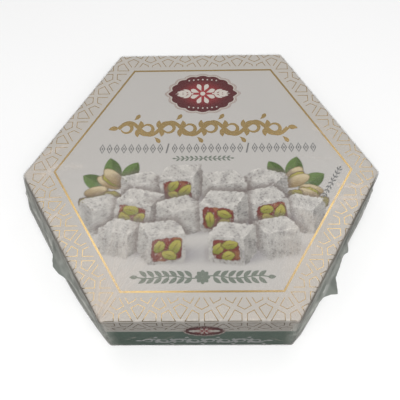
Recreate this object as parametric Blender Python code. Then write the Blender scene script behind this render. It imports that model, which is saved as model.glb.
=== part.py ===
"""A shut six-sided carton of Turkish delight, shrink wrapped in clear film.

The pack has three pieces.  A board tray, filled with its sweets, is one block.
A full-depth board lid slides down over the tray and hides it; its skirt leans
outwards at the left-hand corner.  A skin of clear film is shrunk tight round
both: it is welded along a seam at half height, whose spare film gathers in a
knot on the left and stands out in two ears on the right.

Units are metres.  +Z is up, and the front edge of the pack runs along X, so two
corners of the hexagon lie on the X axis.  The origin is the middle of the film's
underside, which is the face that the pack rests on.
"""

from math import atan2, cos, exp, pi, sin, tan

import bmesh
import bpy
from mathutils import Matrix

# ---- driving dimensions -------------------------------------------------------
SIDES = 6
LID_SIDE = 0.0838          # one edge of the lid's top, corner to corner
PACK_HEIGHT = 0.0350       # the wrapped pack, from underside to top
BOARD = 0.0016             # doubled board of the lid's walls and top
GAP = 0.0003               # play between neighbouring pieces
FILM = 0.00025             # wall of the shrunk film
RIM_LIFT = 0.0008          # the tray stands this much below the lid's rim

# ---- rounding of the folds ----------------------------------------------------
LID_CORNER = 0.0015        # upright folds of the lid
LID_FOLD = 0.0012          # fold between the lid's top and its walls
TRAY_CORNER = 0.0006
TRAY_FOLD = 0.0004
FILM_FOOT = 0.0010         # inside of the film where it turns under the pack
FOLD_STEPS = 4             # facets across one rounded fold

# ---- lean of the lid's skirt at the left-hand corner --------------------------
SPLAY = 0.0044             # how far the rim leans out there
SPLAY_RUN = 0.55           # share of a side over which it grows to that
SPLAY_CUTS = 14            # cuts along each leaning side

# ---- the film's welded seam ---------------------------------------------------
SEAM_HEIGHT = 0.0170       # height of the seam above the underside
SEAM_THICKNESS = 0.0004    # two films welded together
SEAM_SPARE = 0.0005        # how far a plain stretch stands off the wall
SEAM_HIDDEN = -0.00012     # on the folded front there is no seam: inside the wall
SEAM_TURN = 0.04           # share of the front that the seam takes to run out
SEAM_POINTS = 40           # outline points along each side
KNOT_HEIGHT = 0.0036       # a gathered knot of film near the middle of the left
KNOT_AT = 0.515
KNOT_WIDTH = 0.085
SAG_HEIGHT = 0.0022        # slack film along the right
SAG_AT = 0.62
SAG_WIDTH = 0.16
EARS = (                   # start, tip and end along the right side, and height
    (0.385, 0.440, 0.480, 0.0017),
    (0.600, 0.672, 0.745, 0.0043),
)

# ---- vent holes in the film's underside ---------------------------------------
VENT_RADIUS = 0.0015
VENT_OFFSET = (0.030, 0.022)
VENT_SIDES = 16
CUT_MARGIN = 0.005         # how far a cutter reaches past what it cuts

# ---- sides of the hexagon, counted anticlockwise from the right-hand corner ----
SIDE_LEFT = 3              # from the left corner to the front left corner
SIDE_FRONT = 4
SIDE_RIGHT = 5             # from the front right corner to the right corner

# ---- sizes that follow --------------------------------------------------------
HALF_ANGLE = pi / SIDES
SECTOR = 2 * pi / SIDES
LID_REACH = LID_SIDE * cos(HALF_ANGLE)                 # middle to one side
FILM_IN_REACH = LID_REACH + GAP
FILM_OUT_REACH = FILM_IN_REACH + FILM
TRAY_REACH = LID_REACH - BOARD - GAP
LID_TOP = PACK_HEIGHT - FILM - GAP
TRAY_BOTTOM = FILM + GAP
LID_BOTTOM = TRAY_BOTTOM + RIM_LIFT
TRAY_TOP = LID_TOP - BOARD - GAP

PARTS = "turkish_delight_carton"
CUTTERS = "cutters"


def clear_scene():
    """Remove every object that the file starts with."""
    for obj in list(bpy.data.objects):
        bpy.data.objects.remove(obj, do_unlink=True)


def collection(name):
    """Make a collection under the scene's own."""
    group = bpy.data.collections.new(name)
    bpy.context.scene.collection.children.link(group)
    return group


def material(name, color, roughness, metallic=0.0, alpha=1.0):
    """Make a plain Principled material."""
    finish = bpy.data.materials.new(name)
    finish.use_nodes = True
    shader = finish.node_tree.nodes["Principled BSDF"]
    shader.inputs["Base Color"].default_value = (*color, 1.0)
    shader.inputs["Roughness"].default_value = roughness
    shader.inputs["Metallic"].default_value = metallic
    shader.inputs["Alpha"].default_value = alpha
    finish.diffuse_color = (*color, alpha)
    return finish


def place(name, mesh, group):
    """Put a mesh into the scene as a named object."""
    obj = bpy.data.objects.new(name, mesh)
    group.objects.link(obj)
    return obj


def as_cutter(obj):
    """Mark an object as one that only cuts or joins others."""
    obj.hide_render = True
    obj.display_type = "WIRE"
    return obj


def ring_edges(bm, height):
    """The edges that lie at one height."""
    return [
        edge
        for edge in bm.edges
        if all(abs(vert.co.z - height) < 1e-6 for vert in edge.verts)
    ]


def upright_edges(bm):
    """The edges that run from the bottom to the top."""
    return [
        edge
        for edge in bm.edges
        if abs(edge.verts[0].co.z - edge.verts[1].co.z) > 1e-4
    ]


def round_edges(bm, edges, radius):
    """Round some edges with an arc of the given radius."""
    if radius > 0:
        bmesh.ops.bevel(
            bm,
            geom=edges,
            offset=radius,
            offset_type="OFFSET",
            segments=FOLD_STEPS,
            profile=0.5,
            affect="EDGES",
        )


def side_and_share(x, y):
    """The side of the hexagon that a point faces, and how far along it lies."""
    angle = atan2(y, x) % (2 * pi)
    side = int(angle // SECTOR)
    from_middle = angle - (side + 0.5) * SECTOR
    return side, 0.5 + tan(from_middle) / (2 * tan(HALF_ANGLE))


def lean(side, share, height):
    """How far the skirt stands out at a place on a side and at a height."""
    if side == SIDE_LEFT:
        from_far_corner = 1.0 - share
    elif side == SIDE_LEFT - 1:
        from_far_corner = share
    else:
        return 0.0
    depth = max(LID_TOP - height, 0.0) / (LID_TOP - LID_BOTTOM)
    return SPLAY * sin(pi / 2 * min(1.0, from_far_corner / SPLAY_RUN)) * depth


def cut_leaning_sides(bm):
    """Divide the long edges of the two leaning sides, so that they can curve."""
    long_edges = []
    for edge in bm.edges:
        middle = (edge.verts[0].co + edge.verts[1].co) / 2
        side, _ = side_and_share(middle.x, middle.y)
        level = abs(edge.verts[0].co.z - edge.verts[1].co.z) < 1e-6
        if level and side in (SIDE_LEFT - 1, SIDE_LEFT):
            if edge.calc_length() > LID_SIDE / 2:
                long_edges.append(edge)
    bmesh.ops.subdivide_edges(bm, edges=long_edges, cuts=SPLAY_CUTS, use_grid_fill=True)


def lean_skirt(bm):
    """Move each point of a block outwards by the skirt's lean."""
    cut_leaning_sides(bm)
    for vert in bm.verts:
        side, share = side_and_share(vert.co.x, vert.co.y)
        widen = 1.0 + lean(side, share, vert.co.z) / LID_REACH
        vert.co.x *= widen
        vert.co.y *= widen


def prism_mesh(
    name, reach, low, high, corner=0.0, top_fold=0.0, foot_fold=0.0, leaning=True
):
    """A six-sided block from low to high, rounded on its folds.

    reach is the distance from the middle to each side.  corner, top_fold and
    foot_fold are the radii of its upright, upper and lower edges.  leaning says
    whether its left-hand corner follows the lean of the lid's skirt.
    """
    bm = bmesh.new()
    bmesh.ops.create_cone(
        bm,
        cap_ends=True,
        segments=SIDES,
        radius1=reach / cos(HALF_ANGLE),
        radius2=reach / cos(HALF_ANGLE),
        depth=high - low,
        matrix=Matrix.Translation((0.0, 0.0, (low + high) / 2))
        @ Matrix.Rotation(HALF_ANGLE, 4, "Z"),
    )
    round_edges(bm, upright_edges(bm), corner)
    round_edges(bm, ring_edges(bm, high), top_fold)
    round_edges(bm, ring_edges(bm, low), foot_fold)
    if leaning:
        lean_skirt(bm)
    bmesh.ops.recalc_face_normals(bm, faces=bm.faces)
    mesh = bpy.data.meshes.new(name)
    bm.to_mesh(mesh)
    bm.free()
    return mesh


def boolean(obj, operation, other):
    """Add an exact Boolean of another object to this one."""
    modifier = obj.modifiers.new(operation.lower() + "_" + other.name, "BOOLEAN")
    modifier.operation = operation
    modifier.object = other
    modifier.solver = "EXACT"


def corner_point(index):
    """One corner of the film's outline, as X and Y."""
    angle = SECTOR * index
    corner_reach = FILM_OUT_REACH / cos(HALF_ANGLE)
    return corner_reach * cos(angle), corner_reach * sin(angle)


def bump(share, at, width, height):
    """A smooth bell-shaped rise along a side."""
    return height * exp(-(((share - at) / width) ** 2))


def ear_height(share, start, tip, end, height):
    """The height of one ear: a straight rise to its tip, then a hollow way back."""
    if start < share <= tip:
        return height * (share - start) / (tip - start)
    if tip < share < end:
        return height * ((end - share) / (end - tip)) ** 2
    return 0.0


def seam_width(side, share):
    """How far the seam stands out of the film's wall at a place on its outline."""
    if side == SIDE_FRONT:
        turn = min(share, 1.0 - share) / SEAM_TURN
        return SEAM_SPARE + (SEAM_HIDDEN - SEAM_SPARE) * min(turn, 1.0)
    if side == SIDE_LEFT:
        return SEAM_SPARE + bump(share, KNOT_AT, KNOT_WIDTH, KNOT_HEIGHT)
    if side == SIDE_RIGHT:
        from_right = 1.0 - share
        ears = sum(ear_height(from_right, *ear) for ear in EARS)
        return SEAM_SPARE + bump(from_right, SAG_AT, SAG_WIDTH, SAG_HEIGHT) + ears
    return SEAM_SPARE


def seam_outline():
    """The seam's outline: the wall's hexagon, widened by the seam and the lean."""
    points = []
    for side in range(SIDES):
        start = corner_point(side)
        end = corner_point(side + 1)
        for step in range(SEAM_POINTS):
            share = step / SEAM_POINTS
            width = seam_width(side, share) + lean(side, share, SEAM_HEIGHT)
            widen = 1.0 + width / FILM_OUT_REACH
            x = (start[0] + (end[0] - start[0]) * share) * widen
            y = (start[1] + (end[1] - start[1]) * share) * widen
            points.append((x, y))
    return points


def seam_plate(group):
    """The welded seam as a thin flat plate that fills its whole outline."""
    curve = bpy.data.curves.new("seam_outline", "CURVE")
    curve.dimensions = "2D"
    curve.fill_mode = "BOTH"
    curve.extrude = SEAM_THICKNESS / 2
    spline = curve.splines.new("POLY")
    outline = seam_outline()
    spline.points.add(len(outline) - 1)
    for point, (x, y) in zip(spline.points, outline):
        point.co = (x, y, 0.0, 1.0)
    spline.use_cyclic_u = True
    guide = place("seam_guide", curve, group)
    guide.location = (0.0, 0.0, SEAM_HEIGHT)
    bpy.context.view_layer.update()

    depsgraph = bpy.context.evaluated_depsgraph_get()
    mesh = bpy.data.meshes.new_from_object(guide.evaluated_get(depsgraph))
    mesh.transform(guide.matrix_world)
    bpy.data.objects.remove(guide, do_unlink=True)
    bm = bmesh.new()
    bm.from_mesh(mesh)
    bmesh.ops.remove_doubles(bm, verts=bm.verts, dist=1e-6)
    bmesh.ops.recalc_face_normals(bm, faces=bm.faces)
    bm.to_mesh(mesh)
    bm.free()
    return as_cutter(place("seam_plate", mesh, group))


def vent_cutter(name, x, y, group):
    """An upright pin that punches one vent hole through the film's underside."""
    bm = bmesh.new()
    bmesh.ops.create_cone(
        bm,
        cap_ends=True,
        segments=VENT_SIDES,
        radius1=VENT_RADIUS,
        radius2=VENT_RADIUS,
        depth=2 * CUT_MARGIN,
        matrix=Matrix.Translation((x, y, 0.0)),
    )
    mesh = bpy.data.meshes.new(name)
    bm.to_mesh(mesh)
    bm.free()
    return as_cutter(place(name, mesh, group))


def make_base(group):
    """The tray with its sweets: one solid block that fills the lid."""
    mesh = prism_mesh(
        "base",
        TRAY_REACH,
        TRAY_BOTTOM,
        TRAY_TOP,
        TRAY_CORNER,
        TRAY_FOLD,
        TRAY_FOLD,
        leaning=False,
    )
    base = place("base", mesh, group)
    base.data.materials.append(material("tray_board", (0.55, 0.53, 0.49), 0.7))
    return base


def make_lid(group, cutters):
    """The full-depth lid: a board cap that is open underneath."""
    mesh = prism_mesh("lid", LID_REACH, LID_BOTTOM, LID_TOP, LID_CORNER, LID_FOLD)
    lid = place("lid", mesh, group)
    hollow = as_cutter(
        place(
            "lid_hollow",
            prism_mesh(
                "lid_hollow",
                LID_REACH - BOARD,
                LID_BOTTOM - CUT_MARGIN,
                LID_TOP - BOARD,
            ),
            cutters,
        )
    )
    boolean(lid, "DIFFERENCE", hollow)
    lid.data.materials.append(material("lid_board", (0.56, 0.53, 0.48), 0.45))
    return lid


def make_film(group, cutters):
    """The shrunk film: a closed skin with its seam and two vent holes."""
    mesh = prism_mesh(
        "film",
        FILM_OUT_REACH,
        0.0,
        PACK_HEIGHT,
        LID_CORNER + GAP + FILM,
        LID_FOLD + GAP + FILM,
        FILM_FOOT + FILM,
    )
    film = place("film", mesh, group)
    inside = as_cutter(
        place(
            "film_inside",
            prism_mesh(
                "film_inside",
                FILM_IN_REACH,
                FILM,
                PACK_HEIGHT - FILM,
                LID_CORNER + GAP,
                LID_FOLD + GAP,
                FILM_FOOT,
            ),
            cutters,
        )
    )
    boolean(film, "UNION", seam_plate(cutters))
    boolean(film, "DIFFERENCE", inside)
    for number, direction in enumerate((-1, 1), start=1):
        vent = vent_cutter(
            f"vent_{number}", direction * VENT_OFFSET[0], VENT_OFFSET[1], cutters
        )
        boolean(film, "DIFFERENCE", vent)
    film.data.materials.append(material("film", (0.9, 0.9, 0.9), 0.08, alpha=0.25))
    return film


def main():
    """Build the pack from the inside out."""
    clear_scene()
    parts = collection(PARTS)
    cutters = collection(CUTTERS)
    make_base(parts)
    make_lid(parts, cutters)
    make_film(parts, cutters)


main()
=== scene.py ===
"""Looks of a shut six-sided carton of Turkish delight in clear shrink film.

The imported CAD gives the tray, the lid and the film.  This script keeps the tray
and gives it a board finish, and it replaces the lid and the film with surfaces
of their own: a board lid with folded edges, and a thin skin of film that is
taut over the panels, puckered at the corners and gathered along a welded seam.
The print on the lid is laid on as thin pieces: a lattice and a frame in gold
foil, a medallion, scrolls, a garland, a picture of sugared cubes, and a green
band round the walls.

Every surface is a function of two parameters, worked out as whole arrays.
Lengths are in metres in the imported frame; artwork is drawn in millimetres on a
plan of the lid, and laid over the folds from there.
"""

import logging
import math
from dataclasses import dataclass, field
from enum import Enum

import bpy
import numpy as np
from mathutils import Matrix, Vector


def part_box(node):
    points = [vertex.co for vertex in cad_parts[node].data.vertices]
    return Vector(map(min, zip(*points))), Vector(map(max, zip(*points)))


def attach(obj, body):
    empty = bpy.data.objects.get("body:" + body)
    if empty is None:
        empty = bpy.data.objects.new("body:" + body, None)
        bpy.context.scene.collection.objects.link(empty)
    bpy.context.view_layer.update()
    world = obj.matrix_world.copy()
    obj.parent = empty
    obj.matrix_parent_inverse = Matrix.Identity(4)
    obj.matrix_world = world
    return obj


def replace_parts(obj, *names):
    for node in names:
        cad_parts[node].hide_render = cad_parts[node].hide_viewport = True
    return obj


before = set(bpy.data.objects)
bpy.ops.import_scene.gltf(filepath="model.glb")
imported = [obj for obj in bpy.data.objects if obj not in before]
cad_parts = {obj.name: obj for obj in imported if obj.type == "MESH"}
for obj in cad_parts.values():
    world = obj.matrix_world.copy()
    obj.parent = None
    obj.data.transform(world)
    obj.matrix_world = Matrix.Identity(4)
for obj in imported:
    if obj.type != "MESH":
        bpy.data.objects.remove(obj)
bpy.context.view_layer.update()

LOG = logging.getLogger("carton")
ROOT = "root"

Array = np.ndarray
Colour = tuple[float, float, float]
Socket = bpy.types.NodeSocket | float | tuple

MM = 0.001
SIDES = 6
SECTOR = 2 * math.pi / SIDES
HALF_SECTOR = SECTOR / 2

# ---- lengths that the CAD also uses -------------------------------------------
LID_CORNER = 0.0015
LID_FOLD = 0.0012
BOARD = 0.0016
FILM_CORNER = 0.00205
FILM_FOLD = 0.00175
FILM_FOOT = 0.00125
SPLAY = 0.0044
SPLAY_RUN = 0.55
RIGHT_SPLAY = 0.0008
SEAM_HEIGHT = 0.0170
SEAM_SPARE = 0.0005
SEAM_TURN = 0.04
RIM = 0.0005                           # height of the printed rim under the film
KNOT = (0.0036, 0.515, 0.085)          # height, place and width of the gathered knot
SAG = (0.0022, 0.62, 0.16)             # the same for the slack film on the right
EARS = ((0.385, 0.440, 0.480, 0.0017), (0.600, 0.672, 0.745, 0.0043))


class Side(Enum):
    """Sides of the hexagon, counted anticlockwise from the right-hand corner."""

    RIGHT_BACK = 0
    BACK = 1
    LEFT_BACK = 2
    LEFT = 3
    FRONT = 4
    RIGHT = 5


# ==== arithmetic ===================================================================


def srgb(red: float, green: float, blue: float) -> Colour:
    """Turn a display colour (0 to 255) into linear light.

    Args:
        red, green, blue: the colour as a screen shows it.

    Returns:
        The three linear values, by the sRGB curve.
    """
    values = np.array([red, green, blue]) / 255
    linear = np.where(values <= 0.04045, values / 12.92, ((values + 0.055) / 1.055) ** 2.4)
    return tuple(float(value) for value in linear)


def smooth(values: Array, low: float, high: float) -> Array:
    """Rise from 0 to 1 between two values, as 3t^2 - 2t^3."""
    t = np.clip((values - low) / (high - low), 0, 1)
    return t * t * (3 - 2 * t)


def bell(values: Array, height: float, middle: float, width: float) -> Array:
    """A bell: height times exp(-((value - middle) / width)^2)."""
    return height * np.exp(-(((values - middle) / width) ** 2))


def ripples(x: Array, y: Array, length: float, seed: int, waves: int = 9) -> Array:
    """Uneven ripples: a sum of sine waves that run in random directions.

    Args:
        x, y: where to work it out.
        length: typical length of a wave.
        seed: picks the directions, lengths and phases.
        waves: how many sine waves are added.

    Returns:
        The sum, scaled so that its spread is about 1.
    """
    random = np.random.default_rng(seed)
    turn = random.uniform(0, 2 * math.pi, waves)
    pitch = 2 * math.pi / (length * random.uniform(0.6, 1.8, waves))
    phase = random.uniform(0, 2 * math.pi, waves)
    x, y = np.broadcast_arrays(x, y)
    along = x[..., None] * (np.cos(turn) * pitch) + y[..., None] * (np.sin(turn) * pitch)
    return np.sin(along + phase).sum(-1) / math.sqrt(waves / 2)


# ==== the pack's own shape =========================================================


@dataclass(frozen=True)
class Carton:
    """Sizes of the pack as the frame gives them.

    Attributes:
        reach: from the middle to a side of the lid.
        top: height of the lid's top.
        bottom: height of the lid's rim.
        film_reach: from the middle to a side of the film.
        film_top: height of the film's top.
    """

    reach: float
    top: float
    bottom: float
    film_reach: float
    film_top: float

    @classmethod
    def measured(cls) -> "Carton":
        """Read the sizes from the boxes of the lid and of the film."""
        low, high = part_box("lid")
        film_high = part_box("film")[1]
        return cls(high.y, high.z, low.z, film_high.y - SEAM_SPARE, film_high.z)

    @property
    def side(self) -> float:
        """Length of one side of the lid, corner to corner."""
        return 2 * self.reach * math.tan(HALF_SECTOR)

    def lean(self, side: Array, share: Array, height: Array) -> Array:
        """How far the skirt leans out near the left-hand corner.

        The lean is SPLAY sin(pi/2 min(1, d / SPLAY_RUN)) at the rim, where d is
        the share of the side away from its still end, and falls to nothing at
        the lid's top in a straight line.  The right-hand side bows out a little too.

        Args:
            side: number of the side that each point belongs to.
            share: how far along that side it is, from 0 to 1.
            height: its height.

        Returns:
            The lean in metres.
        """
        run = np.where(side == Side.LEFT.value, 1 - share, 0.0)
        run = np.where(side == Side.LEFT_BACK.value, share, run)
        drop = np.clip(self.top - height, 0, None) / (self.top - self.bottom)
        left = SPLAY * np.sin(np.pi / 2 * np.minimum(1, run / SPLAY_RUN))
        ends = smooth(np.minimum(share, 1 - share), 0, 0.09) * (side == Side.RIGHT.value)
        right = (RIGHT_SPLAY + bell(share, RIGHT_SPLAY * 1.1, 0.30, 0.18)) * ends
        return (left + right) * drop

    def leaned(self, points: Array) -> Array:
        """Move points outwards by the skirt's lean: x and y grow by 1 + lean / reach."""
        side, share = side_and_share(points[..., 0], points[..., 1])
        grown = 1 + self.lean(side, share, points[..., 2]) / self.reach
        return np.stack([points[..., 0] * grown, points[..., 1] * grown, points[..., 2]], -1)

    def wrap(self, side: int, along: Array, out: Array, lift: Array | float) -> Array:
        """Lay a flat drawing over one side of the lid.

        The drawing's plan is the lid unfolded.  Up to the fold a point stays flat;
        across the fold its distance turns into an arc of radius LID_FOLD; past the
        fold it runs down the wall.

        Args:
            side: which side the drawing goes over.
            along: distance along the side, anticlockwise from its middle.
            out: distance from the middle of the lid, measured on the plan.
            lift: how far the result stands off the board.

        Returns:
            The points in space, with a last axis of 3.
        """
        past = out - (self.reach - LID_FOLD)
        angle = np.clip(past / LID_FOLD, 0, np.pi / 2)
        down = np.clip(past - LID_FOLD * np.pi / 2, 0, None)
        reach = np.minimum(out, self.reach - LID_FOLD) + (LID_FOLD + lift) * np.sin(angle)
        height = self.top - LID_FOLD + (LID_FOLD + lift) * np.cos(angle) - down
        turn = (side + 0.5) * SECTOR
        x = reach * math.cos(turn) - along * math.sin(turn)
        y = reach * math.sin(turn) + along * math.cos(turn)
        return self.leaned(np.stack([x, y, height], -1))

    def plan_distance(self, height: Array) -> Array:
        """Distance on the unfolded plan of a point on the wall at some height."""
        return self.reach - LID_FOLD + LID_FOLD * np.pi / 2 + (self.top - LID_FOLD - height)


def side_and_share(x: Array, y: Array) -> tuple[Array, Array]:
    """Which side of the hexagon a direction meets, and how far along it.

    Args:
        x, y: points round the middle.

    Returns:
        The side's number, and 1/2 + tan(angle from its middle) / (2 tan 30).
    """
    angle = np.arctan2(y, x) % (2 * np.pi)
    side = np.minimum(angle // SECTOR, SIDES - 1)
    share = 0.5 + np.tan(angle - (side + 0.5) * SECTOR) / (2 * math.tan(HALF_SECTOR))
    return side, share


def hexagon(reach: float, corner: float, along: int, around: int) -> Array:
    """Outline of a hexagon with rounded corners, anticlockwise.

    Each side is a straight run at distance reach, and each corner is an arc of
    the given radius that touches both sides.

    Args:
        reach: from the middle to a side.
        corner: radius of the corners.
        along: points on each straight run, ends included.
        around: points on each arc, ends left out.

    Returns:
        An array of (points, 2).
    """
    half = (reach - corner) * math.tan(HALF_SECTOR)
    run = np.linspace(-half, half, along)
    straight = np.stack([np.full(along, reach), run], -1)
    angle = np.linspace(0, SECTOR, around + 2)[1:-1]
    arc = np.stack([reach - corner + corner * np.cos(angle), half + corner * np.sin(angle)], -1)
    one = np.concatenate([straight, arc])
    turn = (np.arange(SIDES) + 0.5) * SECTOR
    spin = np.array([[np.cos(turn), -np.sin(turn)], [np.sin(turn), np.cos(turn)]])
    return np.einsum("ijk,pj->kpi", spin, one).reshape(-1, 2)


# ==== meshes =======================================================================


@dataclass
class Mesh:
    """Points and faces on their way into Blender.

    Attributes:
        points: an array of (n, 3).
        quads: an array of (m, 4) point numbers.
        triangles: an array of (k, 3) point numbers.
        values: named numbers or colours, one for each point.
    """

    points: Array
    quads: Array = field(default_factory=lambda: np.zeros((0, 4), int))
    triangles: Array = field(default_factory=lambda: np.zeros((0, 3), int))
    values: dict[str, Array] = field(default_factory=dict)

    @classmethod
    def revolved(cls, rings: Array) -> "Mesh":
        """Close a stack of rings into a solid skin.

        Args:
            rings: an array of (rings, points round, 3), from the upper pole to the
                lower one; the first and the last ring each shrink to one point.

        Returns:
            The skin: quads between rings, and a fan of triangles at each pole.
        """
        count = rings.shape[1]
        body = rings[1:-1]
        points = np.concatenate([body.reshape(-1, 3), rings[:1, 0], rings[-1:, 0]])
        row = np.arange(count)
        after = (row + 1) % count
        start = np.arange(len(body) - 1)[:, None] * count
        quads = np.stack([start + row, start + count + row, start + count + after, start + after], -1)
        upper = len(points) - 2
        base = (len(body) - 1) * count
        fan_up = np.stack([np.full(count, upper), row, after], -1)
        fan_down = np.stack([np.full(count, upper + 1), base + after, base + row], -1)
        return cls(points, quads.reshape(-1, 4), np.concatenate([fan_up, fan_down]))

    @classmethod
    def tube(cls, rings: Array) -> "Mesh":
        """Close rings into a hoop: the last ring joins the first, as in a tyre."""
        rows, count = rings.shape[:2]
        row = np.arange(count)
        after = (row + 1) % count
        here = np.arange(rows)[:, None] * count
        there = (np.arange(rows)[:, None] + 1) % rows * count
        quads = np.stack([here + row, there + row, there + after, here + after], -1)
        return cls(rings.reshape(-1, 3), quads.reshape(-1, 4))

    @classmethod
    def joined(cls, parts: list["Mesh"]) -> "Mesh":
        """Put several meshes into one, keeping the values that all of them have."""
        starts = np.cumsum([0] + [len(part.points) for part in parts])
        names = set(parts[0].values).intersection(*(part.values for part in parts))
        return cls(
            np.concatenate([part.points for part in parts]),
            np.concatenate([part.quads + start for part, start in zip(parts, starts)]),
            np.concatenate([part.triangles + start for part, start in zip(parts, starts)]),
            {name: np.concatenate([part.values[name] for part in parts]) for name in names},
        )

    def facing_out(self, middle: Array) -> "Mesh":
        """Turn over each face whose normal points towards the pack's middle."""
        for faces in (self.quads, self.triangles):
            if len(faces):
                corners = self.points[faces]
                normal = np.cross(corners[:, 2] - corners[:, 0], corners[:, -1] - corners[:, 1])
                inwards = np.einsum("ij,ij->i", normal, corners.mean(1) - middle) < 0
                faces[inwards] = faces[inwards][:, ::-1]
        return self

    def built(self, name: str, rounded: bool = True) -> bpy.types.Object:
        """Write the arrays into a Blender object at the origin.

        Args:
            name: the piece's name.
            rounded: whether its faces are shaded smooth.

        Returns:
            The new object, linked to the scene.
        """
        mesh = bpy.data.meshes.new(name)
        loops = np.concatenate([self.quads.ravel(), self.triangles.ravel()])
        sizes = np.concatenate([np.full(len(self.quads), 4), np.full(len(self.triangles), 3)])
        mesh.vertices.add(len(self.points))
        mesh.vertices.foreach_set("co", self.points.astype(np.float32).ravel())
        mesh.loops.add(len(loops))
        mesh.loops.foreach_set("vertex_index", loops.astype(np.int32))
        mesh.polygons.add(len(sizes))
        mesh.polygons.foreach_set("loop_start", (np.cumsum(sizes) - sizes).astype(np.int32))
        mesh.polygons.foreach_set("use_smooth", np.full(len(sizes), rounded))
        mesh.update(calc_edges=True)
        mesh.validate()
        for label, numbers in self.values.items():
            is_colour = numbers.ndim == 2
            kind = "FLOAT_COLOR" if is_colour else "FLOAT"
            layer = mesh.attributes.new(label, kind, "POINT")
            layer.data.foreach_set("color" if is_colour else "value", numbers.astype(np.float32).ravel())
        obj = bpy.data.objects.new(name, mesh)
        bpy.context.scene.collection.objects.link(obj)
        return obj


def strip_faces(runs: int, steps: int) -> Array:
    """Quads of many two-sided strips, whose points are numbered run, step, edge."""
    step = np.arange(steps - 1) * 2
    one = np.stack([step, step + 1, step + 3, step + 2], -1)
    return (np.arange(runs)[:, None, None] * steps * 2 + one).reshape(-1, 4)


def strokes(paths: Array, widths: Array) -> tuple[Array, Array]:
    """Brush strokes: each path is widened to both sides by half its width.

    A point of the edge is path(t) +- width(t) / 2 times the path's unit normal.

    Args:
        paths: an array of (strokes, steps, 2).
        widths: an array of (strokes, steps).

    Returns:
        The flat points (n, 2) and the quads between them.
    """
    heading = np.gradient(paths, axis=1)
    heading /= np.maximum(np.linalg.norm(heading, axis=-1, keepdims=True), 1e-12)
    normal = np.stack([-heading[..., 1], heading[..., 0]], -1)
    offset = normal * widths[..., None] / 2
    both = np.stack([paths + offset, paths - offset], 2)
    return both.reshape(-1, 2), strip_faces(*paths.shape[:2])


def fields(middles: Array, inner: Array, outer: Array, rings: int) -> tuple[Array, Array]:
    """Flat fields between two closed outlines round each middle.

    A point is middle + (inner + (outer - inner) r) for r from 0 to 1.

    Args:
        middles: an array of (fields, 2).
        inner: the inner outline, an array of (fields, angles, 2), from the middle.
        outer: the outer outline, of the same form.
        rings: how many rings the field is made of.

    Returns:
        The flat points (n, 2) and the quads between them.
    """
    share = np.linspace(0, 1, rings + 1)[None, :, None, None]
    grid = middles[:, None, None] + inner[:, None] + (outer - inner)[:, None] * share
    count, rows, angles = grid.shape[:3]
    row = np.arange(angles)
    after = (row + 1) % angles
    start = np.arange(rows - 1)[:, None] * angles
    one = np.stack([start + row, start + angles + row, start + angles + after, start + after], -1)
    quads = np.arange(count)[:, None, None] * rows * angles + one.reshape(1, -1, 4)
    return grid.reshape(-1, 2), quads.reshape(-1, 4)


# ==== shader nodes =================================================================


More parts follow.
